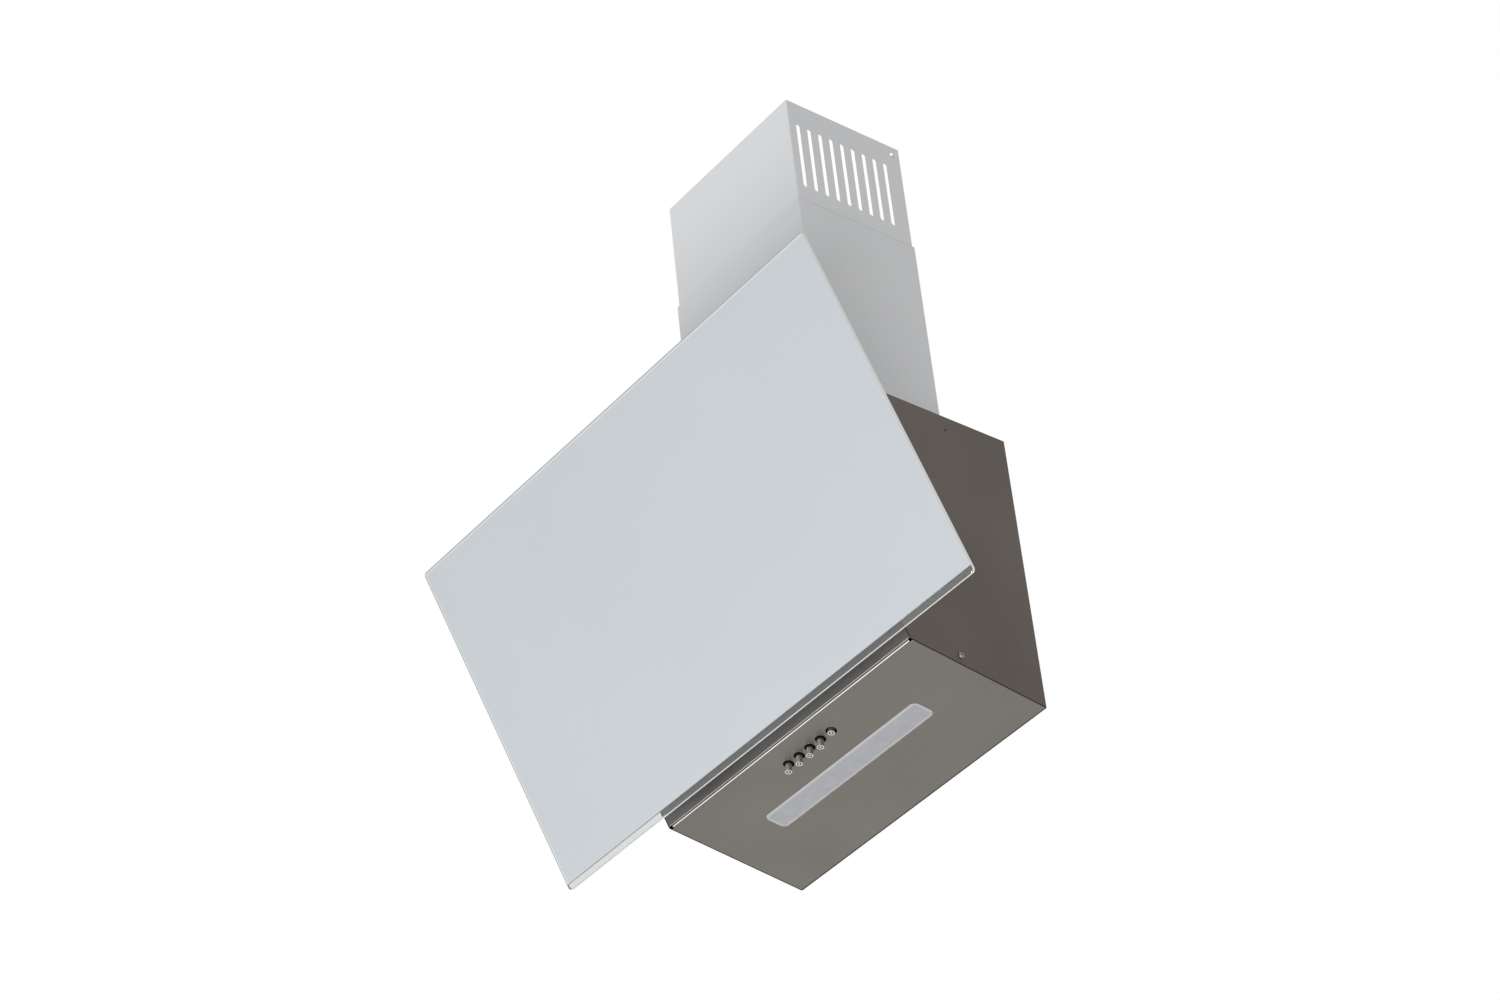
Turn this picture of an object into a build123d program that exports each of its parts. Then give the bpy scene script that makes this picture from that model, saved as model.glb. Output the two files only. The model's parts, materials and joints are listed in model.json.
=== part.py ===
"""Inclined wall hood: sheet-steel body, hinged glass front, telescopic chimney, blower, lamp and switches.

Millimetres, +Z up, +Y towards the wall. The origin is the centre of the four wall holes, on the wall plane.
"""

import os
from math import atan2, cos, degrees, radians, sin, sqrt, tan

from build123d import *

os.makedirs("parts", exist_ok=True)

# Sheet metal and fits
SHEET = 1.0
FOLD = 1.6
SEAM = 0.3
PIN_FIT = 0.03
BIG = 800.0

# Body
BODY_W = 360.0
BODY_H = 302.0
BODY_D = 156.0
BOTTOM_RISE = 22.0
TILT = 25.4
FLANGE = 18.0
TOP_FLANGE = 27.0
FRONT_LIP = 1.4
NOTCH = 3.0
WALL_HOLE_R = 4.0
WALL_HOLE_X = 300.0
WALL_HOLE_Z = 220.0
SIDE_SCREW_Y = -98.0
SIDE_SCREW_RISE = 23.0
RIVET_Y = -75.0
RIVET_DROP = 16.0
RIVET_TAIL_R = 2.3

# Glass front
GLASS_W = 600.0
GLASS_H = 350.0
GLASS_T = 4.0
GLASS_R = 6.0
GLASS_GAP = 29.0
GLASS_LOW = 1.0
CARRIER_T = 1.5
CARRIER_W = 340.0
CARRIER_LOW = 12.0
CARRIER_TOP = 297.0
CARRIER_RAIL = 24.0
STRIKE_T = 0.9
CATCH_GAP = 0.1
CATCH_X = 155.0
CATCH_S = 24.0
CATCH_SIZE = 20.0

# Glass hinges
HINGE_INSET = 60.0
HINGE_S = 295.0
HINGE_N = 15.0
HINGE_PIN_R = 3.0
KNUCKLE_R = 6.0
ARM_W = 6.0
EAR_T = 3.0
EAR_X = 6.5
LEAF_W = 30.0
LEAF_T = 2.0
ARM_LOW = 262.0
ARM_TOP = 302.0
LEAF_LOW = 266.0
LEAF_TOP = 306.0

# Grease filter
FILTER_W = 288.0
FILTER_H = 218.0
FILTER_T = 9.0
FILTER_S = 155.0
FILTER_FIT = 1.0
FILTER_RAIL = 12.0
FILTER_LOW_RAIL = 26.0
MESH_T = 5.0
SEAT_LIP = 8.0
SEAT_T = 1.5
SEAT_WALL = 1.5
TAB_X = 80.0
TAB_W = 20.0
TAB_REACH = 4.0
LATCH_W = 30.0
LATCH_H = 10.0
LATCH_FLANGE = 3.0
LATCH_DEEP = 5.0
LATCH_STEP = 3.5
LATCH_GRIP = 2.0
LATCH_FIT = 0.1
LATCH_TRAVEL = 5.0
LATCH_REST = 7.0
TONGUE_W = 16.0
TONGUE_T = 2.0
TONGUE_REACH = 3.5
TONGUE_ROOM = 1.0

# Lamp
LAMP_W = 222.0
LAMP_H = 25.0
LAMP_R = 6.0
LAMP_U = 86.0
LAMP_FIT = 0.2
LAMP_RECESS = 0.4
LAMP_LIP = 4.0
LAMP_LIP_T = 2.5
LAMP_BOX_T = 2.0
LAMP_BOX_H = 21.0
BOARD_T = 1.6
BOARD_W = 216.0
BOARD_H = 20.0
CHIP = 5.0
CHIP_T = 1.0
CHIP_COUNT = 12
CHIP_PITCH = 17.0

# Push-buttons
BUTTON_COUNT = 5
BUTTON_PITCH = 15.8
BUTTON_U = 130.6
BUTTON_R = 3.35
BUTTON_HOLE_R = 5.35
BUTTON_OUT = 9.3
BUTTON_TRAVEL = 6.6
BUTTON_FIT = 0.05
BUTTON_TIP = 0.5
BUTTON_COLLAR_W = 9.2
BUTTON_COLLAR_T = 2.0
BUTTON_COLLAR_Z = 10.0
CELL_WALL = 3.0
CELL_TOP = 28.0
SWITCH_W = 92.0
SWITCH_D = 20.0
SWITCH_H = 32.0

# Chimney
LOWER_W = 200.0
LOWER_D = 149.0
LOWER_H = 298.0
SLIDE_GAP = 0.5
UPPER_TOP = 579.0
UPPER_H = 290.0
BACK_LIP = 14.0
SLOT_COUNT = 9
SLOT_W = 5.0
SLOT_LOW = 469.5
SLOT_TOP = 551.0
SLOT_PITCH = 14.0
SLOT_BEVEL = 1.5
SLOT_FIRST_Y = -135.5
FIX_HOLE_R = 3.2
FIX_HOLE_Y = -11.0
FIX_HOLE_DROP = 10.5
FOOT_L = 40.0
FOOT_H = 15.0
FOOT_T = 1.5
FOOT_Y = -74.5

# Blower
FAN_X = -60.0
FAN_R = 75.0
SCROLL_R = 84.0
SCROLL_STEP = 12.0
SCROLL_WALL = 2.0
SCROLL_TOP = 105.0
SCROLL_BACK = 34.5
SCROLL_DEPTH = 80.0
INLET_R = 62.0
MOUTH_R = 4.0
MOUTH_BEVEL = 3.0
BLADE_COUNT = 24
BLADE_T = 1.2
BLADE_IN_R = 63.0
BLADE_OUT_R = 73.5
BLADE_LEAN = 6.0
BLADE_BOW = 1.2
FAN_BACK = 38.0
FAN_FRONT = 108.0
FAN_DISC = 2.0
HUB_R = 12.0
HUB_L = 22.0
SHAFT_R = 4.0
SHAFT_BACK = 10.0
SHAFT_FRONT = 68.0
NUT_R = 7.0
NUT_L = 6.0
MOTOR_W = 74.0
MOTOR_BACK = 5.0
MOTOR_FRONT = 31.5
MOTOR_NOSE_R = 18.0
MOTOR_CORNER = 14.0
ARM_R = 66.0
SPIDER_R = 50.0
SPIDER_ARM_W = 16.0
SPIDER_T = 3.0
SPIDER_ARMS = 3
GUARD_WIRE = 1.5
GUARD_RINGS = (56.0, 38.0, 20.0)
GUARD_SIDE_COUNT = 16
GUARD_SPOKES = 3

# Outlet
DUCT_Y = -74.5
COLLAR_R = 60.0
COLLAR_WALL = 1.5
COLLAR_H = 40.0
COLLAR_FLANGE_R = 72.0
COLLAR_FLANGE_T = 1.5
LEDGE_R = 54.0
LEDGE_Z = 4.0
LEDGE_T = 2.0
FLAP_R = 57.5
FLAP_T = 1.5
FLAP_LIFT = 0.1
FLAP_BAR_W = 12.0
FLAP_PIN_R = 1.5
FLAP_PIN_UP = 3.5
FLAP_PIN_Y = 4.0
FLAP_KNUCKLE_R = 3.2
FLAP_KNUCKLE_W = 12.0
FLAP_KNUCKLE_X = 32.0
ADAPTOR_T = 1.5
ADAPTOR_R = 6.0

# Electrical pieces
GROMMET_X = 82.0
GROMMET_Y = -22.0
GROMMET_R = 8.0
GROMMET_LIP_R = 11.0
GROMMET_LIP_T = 1.5
GROMMET_BORE_R = 4.5
GROMMET_SIDE_COUNT = 16
ELECTRIC_INSET = 62.0
TERMINAL_Z = 55.0
TERMINAL_SIZE = (84.0, 50.0)
ELECTRIC_ROOM = 1.5
DRIVER_Z = -10.0
DRIVER_SIZE = (96.0, 30.0, 38.0)
CAPACITOR_Z = -72.0
CAPACITOR_SIZE = (60.0, 28.0, 30.0)
LID_T = 2.0
EDGE_BEVEL = 2.0

# Screws
SCREW_R = 1.9
SCREW_HOLE_R = 2.0
SCREW_HEAD_R = 3.2
SCREW_HEAD_T = 1.6
SCREW_DOME = 1.1
SCREW_LENGTH = 7.0
HEX_SIDE_COUNT = 6

# Frames of the two sloping sheets
Z_LOW = -BODY_H / 2
Z_TOP = BODY_H / 2
Z_EDGE = Z_LOW + BOTTOM_RISE
SLOPE = degrees(atan2(BOTTOM_RISE, BODY_D))
TILT_SIN = sin(radians(TILT))
TILT_COS = cos(radians(TILT))
TILT_TAN = tan(radians(TILT))
SLOPE_SIN = sin(radians(SLOPE))
SLOPE_COS = cos(radians(SLOPE))
SLOPE_TAN = tan(radians(SLOPE))
FRONT = Plane(origin=(0, -BODY_D, Z_EDGE), x_dir=(1, 0, 0), z_dir=(0, -TILT_COS, -TILT_SIN))
FLOOR = Plane(origin=(0, 0, Z_LOW), x_dir=(1, 0, 0), z_dir=(0, -SLOPE_SIN, -SLOPE_COS))
SIDE_IN = BODY_W / 2 - SHEET
INNER_HALF = SIDE_IN - SEAM
ELECTRIC_X = BODY_W / 2 - ELECTRIC_INSET
HINGE_X = BODY_W / 2 - HINGE_INSET
BACK_IN = -SHEET - SEAM


def front_y(z, n=0.0):
    """Y on the slanted front, n outwards of its face, at height z."""
    return -BODY_D - (z - Z_EDGE) * TILT_TAN - n / TILT_COS


def front_point(s, n):
    """Side-view point s up the slanted front and n outwards of it."""
    return (-BODY_D - s * TILT_SIN - n * TILT_COS, Z_EDGE + s * TILT_COS - n * TILT_SIN)


def floor_z(y, m=0.0):
    """Height of the sloping bottom, m inwards of its face, at y."""
    return Z_LOW - y * SLOPE_TAN + m / SLOPE_COS


def corner(m, n):
    """Side-view point where the bottom moved m inwards meets the front moved n outwards."""
    rise = Z_LOW + m / SLOPE_COS - Z_EDGE
    y = (-BODY_D - rise * TILT_TAN - n / TILT_COS) / (1 - TILT_TAN * SLOPE_TAN)
    return (y, floor_z(y, m))


def block(plane, x, y, z, mode=Mode.ADD):
    """Box between pairs of local coordinates of a plane."""
    middle = Pos((x[0] + x[1]) / 2, (y[0] + y[1]) / 2, (z[0] + z[1]) / 2)
    with Locations(plane.location * middle):
        Box(x[1] - x[0], y[1] - y[0], z[1] - z[0], mode=mode)


def rod(plane, x, y, z, radius, mode=Mode.ADD):
    """Cylinder along a plane's normal between a pair of heights."""
    with Locations(plane.location * Pos(x, y, (z[0] + z[1]) / 2)):
        Cylinder(radius, z[1] - z[0], mode=mode)


def sided_rod(plane, x, y, z, radius, mode=Mode.ADD, sides=HEX_SIDE_COUNT):
    """Bar with flat sides along a plane's normal between a pair of heights."""
    with BuildSketch(plane.offset(z[0]), mode=Mode.PRIVATE) as outline:
        with Locations((x, y)):
            RegularPolygon(radius, sides)
    extrude(outline.sketch, amount=z[1] - z[0], mode=mode)


def around(centre, size):
    """Pair of coordinates that spans a size about a centre."""
    return (centre - size / 2, centre + size / 2)


def finish(piece, name):
    """Label a sub-part and write it out."""
    piece.part.label = name
    export_step(piece.part, f"parts/{name}.step")


# Body sheets
SIDE_VIEW = [(0, Z_LOW), corner(0, 0), (front_y(Z_TOP), Z_TOP), (0, Z_TOP)]
SIDE_SCREW_Z = Z_LOW + SIDE_SCREW_RISE
RIVET_Z = Z_TOP - RIVET_DROP

with BuildPart() as casing_wrap:
    with BuildSketch(Plane.YZ):
        Polygon(*SIDE_VIEW, align=None)
    extrude(amount=BODY_W / 2, both=True)
    fillet(casing_wrap.edges().filter_by(Axis.Z).group_by(Axis.Y)[-1], FOLD)
    block(Plane.XY, (-SIDE_IN, SIDE_IN), (-BIG, -SHEET), (-BIG, BIG), Mode.SUBTRACT)
    with BuildSketch(Plane.XZ):
        with GridLocations(WALL_HOLE_X, WALL_HOLE_Z, 2, 2):
            Circle(WALL_HOLE_R)
    extrude(amount=2 * SHEET, both=True, mode=Mode.SUBTRACT)
    sided_rod(Plane.YZ, SIDE_SCREW_Y, SIDE_SCREW_Z, (-BODY_W, BODY_W), SCREW_HOLE_R, Mode.SUBTRACT)
    sided_rod(Plane.YZ, RIVET_Y, RIVET_Z, (-BODY_W, BODY_W), SCREW_HOLE_R, Mode.SUBTRACT)
finish(casing_wrap, "casing_wrap")

TOP_VIEW = [
    (BACK_IN, Z_TOP),
    (front_y(Z_TOP, -SHEET), Z_TOP),
    (front_y(Z_TOP - SHEET, -SHEET), Z_TOP - SHEET),
    (BACK_IN, Z_TOP - SHEET),
]
FOOT_X = LOWER_W / 2 - SHEET
FOOT_SCREW_X = FOOT_X - FOOT_H / 2

with BuildPart() as top_plate:
    with BuildSketch(Plane.YZ):
        Polygon(*TOP_VIEW, align=None)
    extrude(amount=INNER_HALF, both=True)
    for side in (-1, 1):
        flange_x = sorted((side * INNER_HALF, side * (INNER_HALF - SHEET)))
        block(Plane.XY, flange_x, (-BODY_D, BACK_IN), (Z_TOP - TOP_FLANGE, Z_TOP))
        sided_rod(Plane.XY, side * FOOT_SCREW_X, FOOT_Y, (0, BIG), SCREW_HOLE_R, Mode.SUBTRACT)
    rod(Plane.XY, 0, DUCT_Y, (0, BIG), COLLAR_R - COLLAR_WALL, Mode.SUBTRACT)
    rod(Plane.XY, GROMMET_X, GROMMET_Y, (0, BIG), GROMMET_R, Mode.SUBTRACT)
    sided_rod(Plane.YZ, RIVET_Y, RIVET_Z, (-BODY_W, BODY_W), SCREW_HOLE_R, Mode.SUBTRACT)
finish(top_plate, "top_plate")

FRONT_VIEW = [
    front_point(FRONT_LIP, 0),
    (front_y(Z_TOP), Z_TOP),
    (front_y(Z_TOP, -SHEET), Z_TOP),
    front_point(FRONT_LIP, -SHEET),
]
OPEN_W = FILTER_W + 2 * FILTER_FIT
OPEN_H = FILTER_H + 2 * FILTER_FIT

with BuildPart() as front_panel:
    with BuildSketch(Plane.YZ):
        Polygon(*FRONT_VIEW, align=None)
    extrude(amount=INNER_HALF, both=True)
    block(FRONT, around(0, OPEN_W), around(FILTER_S, OPEN_H), (-BIG / 4, BIG / 4), Mode.SUBTRACT)
finish(front_panel, "front_panel")

TRAY_OUT = [
    (BACK_IN, floor_z(BACK_IN)),
    corner(0, -SHEET),
    corner(FLANGE, -SHEET),
    (BACK_IN, floor_z(BACK_IN, FLANGE)),
]
TRAY_IN = [
    (BACK_IN - SHEET, floor_z(BACK_IN - SHEET, SHEET)),
    corner(SHEET, -2 * SHEET),
    corner(2 * FLANGE, -2 * SHEET),
    (BACK_IN - SHEET, floor_z(BACK_IN - SHEET, 2 * FLANGE)),
]
BUTTON_X = [(index - (BUTTON_COUNT - 1) / 2) * BUTTON_PITCH for index in range(BUTTON_COUNT)]

with BuildPart() as bottom_panel:
    with BuildSketch(Plane.YZ):
        Polygon(*TRAY_OUT, align=None)
    extrude(amount=INNER_HALF, both=True)
    front_edge = bottom_panel.edges().filter_by(Axis.X).sort_by(Axis.Z)
    fillet([edge for edge in front_edge if edge.center().Y < -BODY_D / 2][:1], FOLD)
    with BuildSketch(Plane.YZ):
        Polygon(*TRAY_IN, align=None)
    extrude(amount=INNER_HALF - SHEET, both=True, mode=Mode.SUBTRACT)
    tip = Plane(origin=(0, *corner(0, 0)), x_dir=FLOOR.x_dir, z_dir=FLOOR.z_dir)
    for side in (-1, 1):
        notch_x = sorted((side * INNER_HALF, side * (INNER_HALF - NOTCH)))
        block(tip, notch_x, (-NOTCH, NOTCH), (-NOTCH, NOTCH), Mode.SUBTRACT)
    with BuildSketch(FLOOR):
        with Locations((0, LAMP_U)):
            RectangleRounded(LAMP_W + 2 * LAMP_FIT, LAMP_H + 2 * LAMP_FIT, LAMP_R + LAMP_FIT)
        with Locations(*[(x, BUTTON_U) for x in BUTTON_X]):
            Circle(BUTTON_HOLE_R)
    extrude(amount=2 * SHEET, both=True, mode=Mode.SUBTRACT)
    sided_rod(Plane.YZ, SIDE_SCREW_Y, SIDE_SCREW_Z, (-BODY_W, BODY_W), SCREW_HOLE_R, Mode.SUBTRACT)
finish(bottom_panel, "bottom_panel")

with BuildPart() as casing_screws:
    for side in (-1, 1):
        wall = Plane(origin=(side * BODY_W / 2, 0, 0), x_dir=(0, side, 0), z_dir=(side, 0, 0))
        sided_rod(wall, side * SIDE_SCREW_Y, SIDE_SCREW_Z, (-SCREW_LENGTH, 0), SCREW_R)
        rod(wall, side * SIDE_SCREW_Y, SIDE_SCREW_Z, (0, SCREW_HEAD_T), SCREW_HEAD_R)
    rims = casing_screws.edges().filter_by(GeomType.CIRCLE).sort_by(Axis.X)
    chamfer([rims[0], rims[-1]], SCREW_DOME)
finish(casing_screws, "casing_screws")

with BuildPart() as casing_rivets:
    for side in (-1, 1):
        wall = Plane(origin=(side * BODY_W / 2, 0, 0), x_dir=(0, side, 0), z_dir=(side, 0, 0))
        sided_rod(wall, side * RIVET_Y, RIVET_Z, (-SCREW_LENGTH / 2, 0), SCREW_R)
        sided_rod(wall, side * RIVET_Y, RIVET_Z, (-SCREW_LENGTH / 2, -2 * SHEET - SEAM), RIVET_TAIL_R)
finish(casing_rivets, "casing_rivets")

# Grease filter
FILTER_LOW = FILTER_S - FILTER_H / 2
FILTER_TOP = FILTER_S + FILTER_H / 2
POCKET_LOW = FILTER_LOW + LATCH_REST - LATCH_FIT
POCKET_TOP = FILTER_LOW + LATCH_REST + LATCH_H + LATCH_TRAVEL + LATCH_FIT
LATCH_S = FILTER_LOW + LATCH_REST
POCKET_DEEP = LATCH_DEEP + LATCH_FIT
TONGUE_N = (-LATCH_DEEP, -LATCH_DEEP + TONGUE_T)

with BuildPart() as filter_seat:
    wall_w = OPEN_W + 2 * SEAT_WALL
    wall_h = OPEN_H + 2 * SEAT_WALL
    block(FRONT, around(0, wall_w), around(FILTER_S, wall_h), (-FILTER_T - SEAT_T, -SHEET))
    block(FRONT, around(0, OPEN_W), around(FILTER_S, OPEN_H), (-FILTER_T, 0), Mode.SUBTRACT)
    hole_w = FILTER_W - 2 * SEAT_LIP
    hole_h = FILTER_H - 2 * SEAT_LIP
    block(FRONT, around(0, hole_w), around(FILTER_S, hole_h), (-BIG / 4, 0), Mode.SUBTRACT)
    tongue_gap = (-LATCH_DEEP - 2 * LATCH_FIT, -SHEET)
    block(FRONT, around(0, TONGUE_W + 2 * TONGUE_ROOM), (0, FILTER_LOW), tongue_gap, Mode.SUBTRACT)
    for side in (-1, 1):
        tab_x = around(side * TAB_X, TAB_W + 2 * TONGUE_ROOM)
        block(FRONT, tab_x, (FILTER_TOP, BIG), tongue_gap, Mode.SUBTRACT)
finish(filter_seat, "filter_seat")

with BuildPart() as filter_frame:
    block(FRONT, around(0, FILTER_W), (FILTER_LOW, FILTER_TOP), (-FILTER_T, 0))
    window_x = around(0, FILTER_W - 2 * FILTER_RAIL)
    window_s = (FILTER_LOW + FILTER_LOW_RAIL, FILTER_TOP - FILTER_RAIL)
    block(FRONT, window_x, window_s, (-FILTER_T, 0), Mode.SUBTRACT)
    pocket_x = around(0, LATCH_W + 2 * LATCH_FLANGE + 2 * LATCH_FIT)
    block(FRONT, pocket_x, (POCKET_LOW, POCKET_TOP), (-POCKET_DEEP, -LATCH_STEP), Mode.SUBTRACT)
    grip_x = around(0, LATCH_W + 2 * LATCH_FIT)
    block(FRONT, grip_x, (POCKET_LOW, POCKET_TOP), (-LATCH_STEP, 0), Mode.SUBTRACT)
    slot_n = (-POCKET_DEEP, TONGUE_N[1] + LATCH_FIT)
    block(FRONT, around(0, TONGUE_W + 2 * LATCH_FIT), (FILTER_LOW, POCKET_LOW), slot_n, Mode.SUBTRACT)
    for side in (-1, 1):
        block(FRONT, around(side * TAB_X, TAB_W), (FILTER_TOP, FILTER_TOP + TAB_REACH), TONGUE_N)
finish(filter_frame, "filter_frame")

with BuildPart() as filter_mesh:
    block(FRONT, window_x, window_s, around(-FILTER_T / 2, MESH_T))
finish(filter_mesh, "filter_mesh")

with BuildPart() as filter_latch:
    flange_w = LATCH_W + 2 * LATCH_FLANGE
    block(FRONT, around(0, flange_w), (LATCH_S, LATCH_S + LATCH_H), (-LATCH_DEEP, -LATCH_STEP - LATCH_FIT))
    block(FRONT, around(0, LATCH_W), (LATCH_S, LATCH_S + LATCH_H), (-LATCH_DEEP, LATCH_GRIP))
    fillet(filter_latch.faces().sort_by(FRONT.location.z_axis)[-1].edges(), LATCH_GRIP / 2)
    block(FRONT, around(0, TONGUE_W), (FILTER_LOW - TONGUE_REACH, LATCH_S), TONGUE_N)
finish(filter_latch, "filter_latch")

# Glass front and its hinges
GLASS_TOP = GLASS_LOW + GLASS_H
CARRIER_N = (GLASS_GAP - CARRIER_T, GLASS_GAP)
STRIKE_N = (CARRIER_N[0] - STRIKE_T, CARRIER_N[0])
ARM_N = (CARRIER_N[0] - LEAF_T, CARRIER_N[0])

with BuildPart() as glass_pane:
    with BuildSketch(FRONT.offset(GLASS_GAP)):
        with Locations((0, (GLASS_LOW + GLASS_TOP) / 2)):
            RectangleRounded(GLASS_W, GLASS_H, GLASS_R)
    extrude(amount=GLASS_T)
finish(glass_pane, "glass_pane")

with BuildPart() as glass_carrier:
    block(FRONT, around(0, CARRIER_W), (CARRIER_LOW, CARRIER_TOP), CARRIER_N)
    window_s = (CARRIER_LOW + CARRIER_RAIL, CARRIER_TOP - 2 * CARRIER_RAIL)
    block(FRONT, around(0, CARRIER_W - 4 * CARRIER_RAIL), window_s, CARRIER_N, Mode.SUBTRACT)
finish(glass_carrier, "glass_carrier")

with BuildPart() as strike_plates:
    for side in (-1, 1):
        block(FRONT, around(side * CATCH_X, CATCH_SIZE), around(CATCH_S, CATCH_SIZE), STRIKE_N)
finish(strike_plates, "strike_plates")

with BuildPart() as magnet_catches:
    for side in (-1, 1):
        catch_n = (0, STRIKE_N[0] - CATCH_GAP)
        block(FRONT, around(side * CATCH_X, CATCH_SIZE), around(CATCH_S, CATCH_SIZE), catch_n)
    chamfer(magnet_catches.edges().filter_by(FRONT.location.z_axis), EDGE_BEVEL)
finish(magnet_catches, "magnet_catches")

PIN_AXIS = Plane(origin=(0, *front_point(HINGE_S, HINGE_N)), x_dir=FRONT.y_dir, z_dir=(1, 0, 0))

for side, hand in ((-1, "left"), (1, "right")):
    centre_x = side * HINGE_X
    with BuildPart() as hinge_arm:
        block(FRONT, around(centre_x, LEAF_W), (ARM_LOW, ARM_TOP), ARM_N)
        rod(PIN_AXIS, 0, 0, around(centre_x, ARM_W), KNUCKLE_R)
        knuckle_s = around(HINGE_S, 2 * KNUCKLE_R)
        block(FRONT, around(centre_x, ARM_W), knuckle_s, (HINGE_N, ARM_N[0]))
        rod(PIN_AXIS, 0, 0, around(centre_x, 2 * ARM_W), HINGE_PIN_R + PIN_FIT, Mode.SUBTRACT)
    finish(hinge_arm, f"hinge_arm_{hand}")

    with BuildPart() as hinge_bracket:
        block(FRONT, around(centre_x, LEAF_W), (LEAF_LOW, LEAF_TOP), (0, LEAF_T))
        for ear in (-1, 1):
            ear_x = around(centre_x + ear * EAR_X, EAR_T)
            rod(PIN_AXIS, 0, 0, ear_x, KNUCKLE_R)
            block(FRONT, ear_x, knuckle_s, (0, HINGE_N))
        rod(PIN_AXIS, 0, 0, around(centre_x, LEAF_W), HINGE_PIN_R + PIN_FIT, Mode.SUBTRACT)
    finish(hinge_bracket, f"hinge_bracket_{hand}")

with BuildPart() as hinge_pins:
    for side in (-1, 1):
        pin_l = 2 * EAR_X + EAR_T + 2 * SHEET
        rod(PIN_AXIS, 0, 0, around(side * HINGE_X, pin_l), HINGE_PIN_R)
finish(hinge_pins, "hinge_pins")

# Lamp
LIP_W = LAMP_W + 2 * LAMP_LIP
LIP_H = LAMP_H + 2 * LAMP_LIP
LAMP_TOP = -SHEET - LAMP_BOX_H

with BuildPart() as lamp_diffuser:
    with BuildSketch(FLOOR.offset(-SHEET)):
        with Locations((0, LAMP_U)):
            RectangleRounded(LAMP_W, LAMP_H, LAMP_R)
    extrude(amount=SHEET - LAMP_RECESS)
    block(FLOOR, around(0, LIP_W), around(LAMP_U, LIP_H), (-SHEET - LAMP_LIP_T, -SHEET))
finish(lamp_diffuser, "lamp_diffuser")

with BuildPart() as lamp_housing:
    box_w = LIP_W + 2 * LAMP_FIT + 2 * LAMP_BOX_T
    box_h = LIP_H + 2 * LAMP_FIT + 2 * LAMP_BOX_T
    block(FLOOR, around(0, box_w), around(LAMP_U, box_h), (LAMP_TOP, -SHEET))
    chamfer(lamp_housing.edges().filter_by(FLOOR.location.z_axis), EDGE_BEVEL)
    cavity_x = around(0, LIP_W + 2 * LAMP_FIT)
    cavity_u = around(LAMP_U, LIP_H + 2 * LAMP_FIT)
    block(FLOOR, cavity_x, cavity_u, (LAMP_TOP + LAMP_BOX_T, -SHEET), Mode.SUBTRACT)
finish(lamp_housing, "lamp_housing")

BOARD_Z = (LAMP_TOP + LAMP_BOX_T, LAMP_TOP + LAMP_BOX_T + BOARD_T)

with BuildPart() as led_board:
    block(FLOOR, around(0, BOARD_W), around(LAMP_U, BOARD_H), BOARD_Z)
finish(led_board, "led_board")

with BuildPart() as led_chips:
    for index in range(CHIP_COUNT):
        chip_x = (index - (CHIP_COUNT - 1) / 2) * CHIP_PITCH
        block(FLOOR, around(chip_x, CHIP), around(LAMP_U, CHIP), (BOARD_Z[1], BOARD_Z[1] + CHIP_T))
finish(led_chips, "led_chips")

# Switch block and push-buttons
with BuildPart() as switch_block:
    block(FLOOR, around(0, SWITCH_W), around(BUTTON_U, SWITCH_D), (-SHEET - SWITCH_H, -SHEET))
    chamfer(switch_block.edges().filter_by(FLOOR.location.z_axis), EDGE_BEVEL)
    cell_x = around(0, SWITCH_W - 2 * CELL_WALL)
    cell_u = around(BUTTON_U, SWITCH_D - 2 * CELL_WALL)
    block(FLOOR, cell_x, cell_u, (-CELL_TOP, -BUTTON_COLLAR_Z), Mode.SUBTRACT)
    for x in BUTTON_X:
        rod(FLOOR, x, BUTTON_U, (-BUTTON_COLLAR_Z, 0), BUTTON_R + BUTTON_FIT, Mode.SUBTRACT)
finish(switch_block, "switch_block")

for index, x in enumerate(BUTTON_X):
    pressed = BUTTON_TRAVEL if index == BUTTON_COUNT - 1 else 0.0
    tip_z = BUTTON_OUT - pressed
    collar_z = -BUTTON_COLLAR_Z - BUTTON_FIT - pressed
    with BuildPart() as push_button:
        rod(FLOOR, x, BUTTON_U, (collar_z, tip_z), BUTTON_R)
        end_rim = push_button.edges().filter_by(GeomType.CIRCLE).sort_by(FLOOR.location.z_axis)[-1]
        chamfer(end_rim, BUTTON_TIP)
        collar_x = around(x, BUTTON_COLLAR_W)
        block(FLOOR, collar_x, around(BUTTON_U, BUTTON_COLLAR_W), (collar_z - BUTTON_COLLAR_T, collar_z))
    finish(push_button, f"push_button_{index + 1}")

# Chimney
with BuildPart() as chimney_lower:
    block(Plane.XY, around(0, LOWER_W), (-LOWER_D, 0), (Z_TOP, Z_TOP + LOWER_H))
    fillet(chimney_lower.edges().filter_by(Axis.Z), FOLD)
    inner_x = around(0, LOWER_W - 2 * SHEET)
    block(Plane.XY, inner_x, (SHEET - LOWER_D, -SHEET), (0, BIG), Mode.SUBTRACT)
    block(Plane.XY, around(0, LOWER_W - 2 * BACK_LIP), (-2 * SHEET, 0), (0, BIG), Mode.SUBTRACT)
finish(chimney_lower, "chimney_lower")

UPPER_W = LOWER_W - 2 * (SHEET + SLIDE_GAP)
UPPER_FRONT = -LOWER_D + SHEET + SLIDE_GAP
UPPER_BACK = -SHEET - SLIDE_GAP

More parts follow.
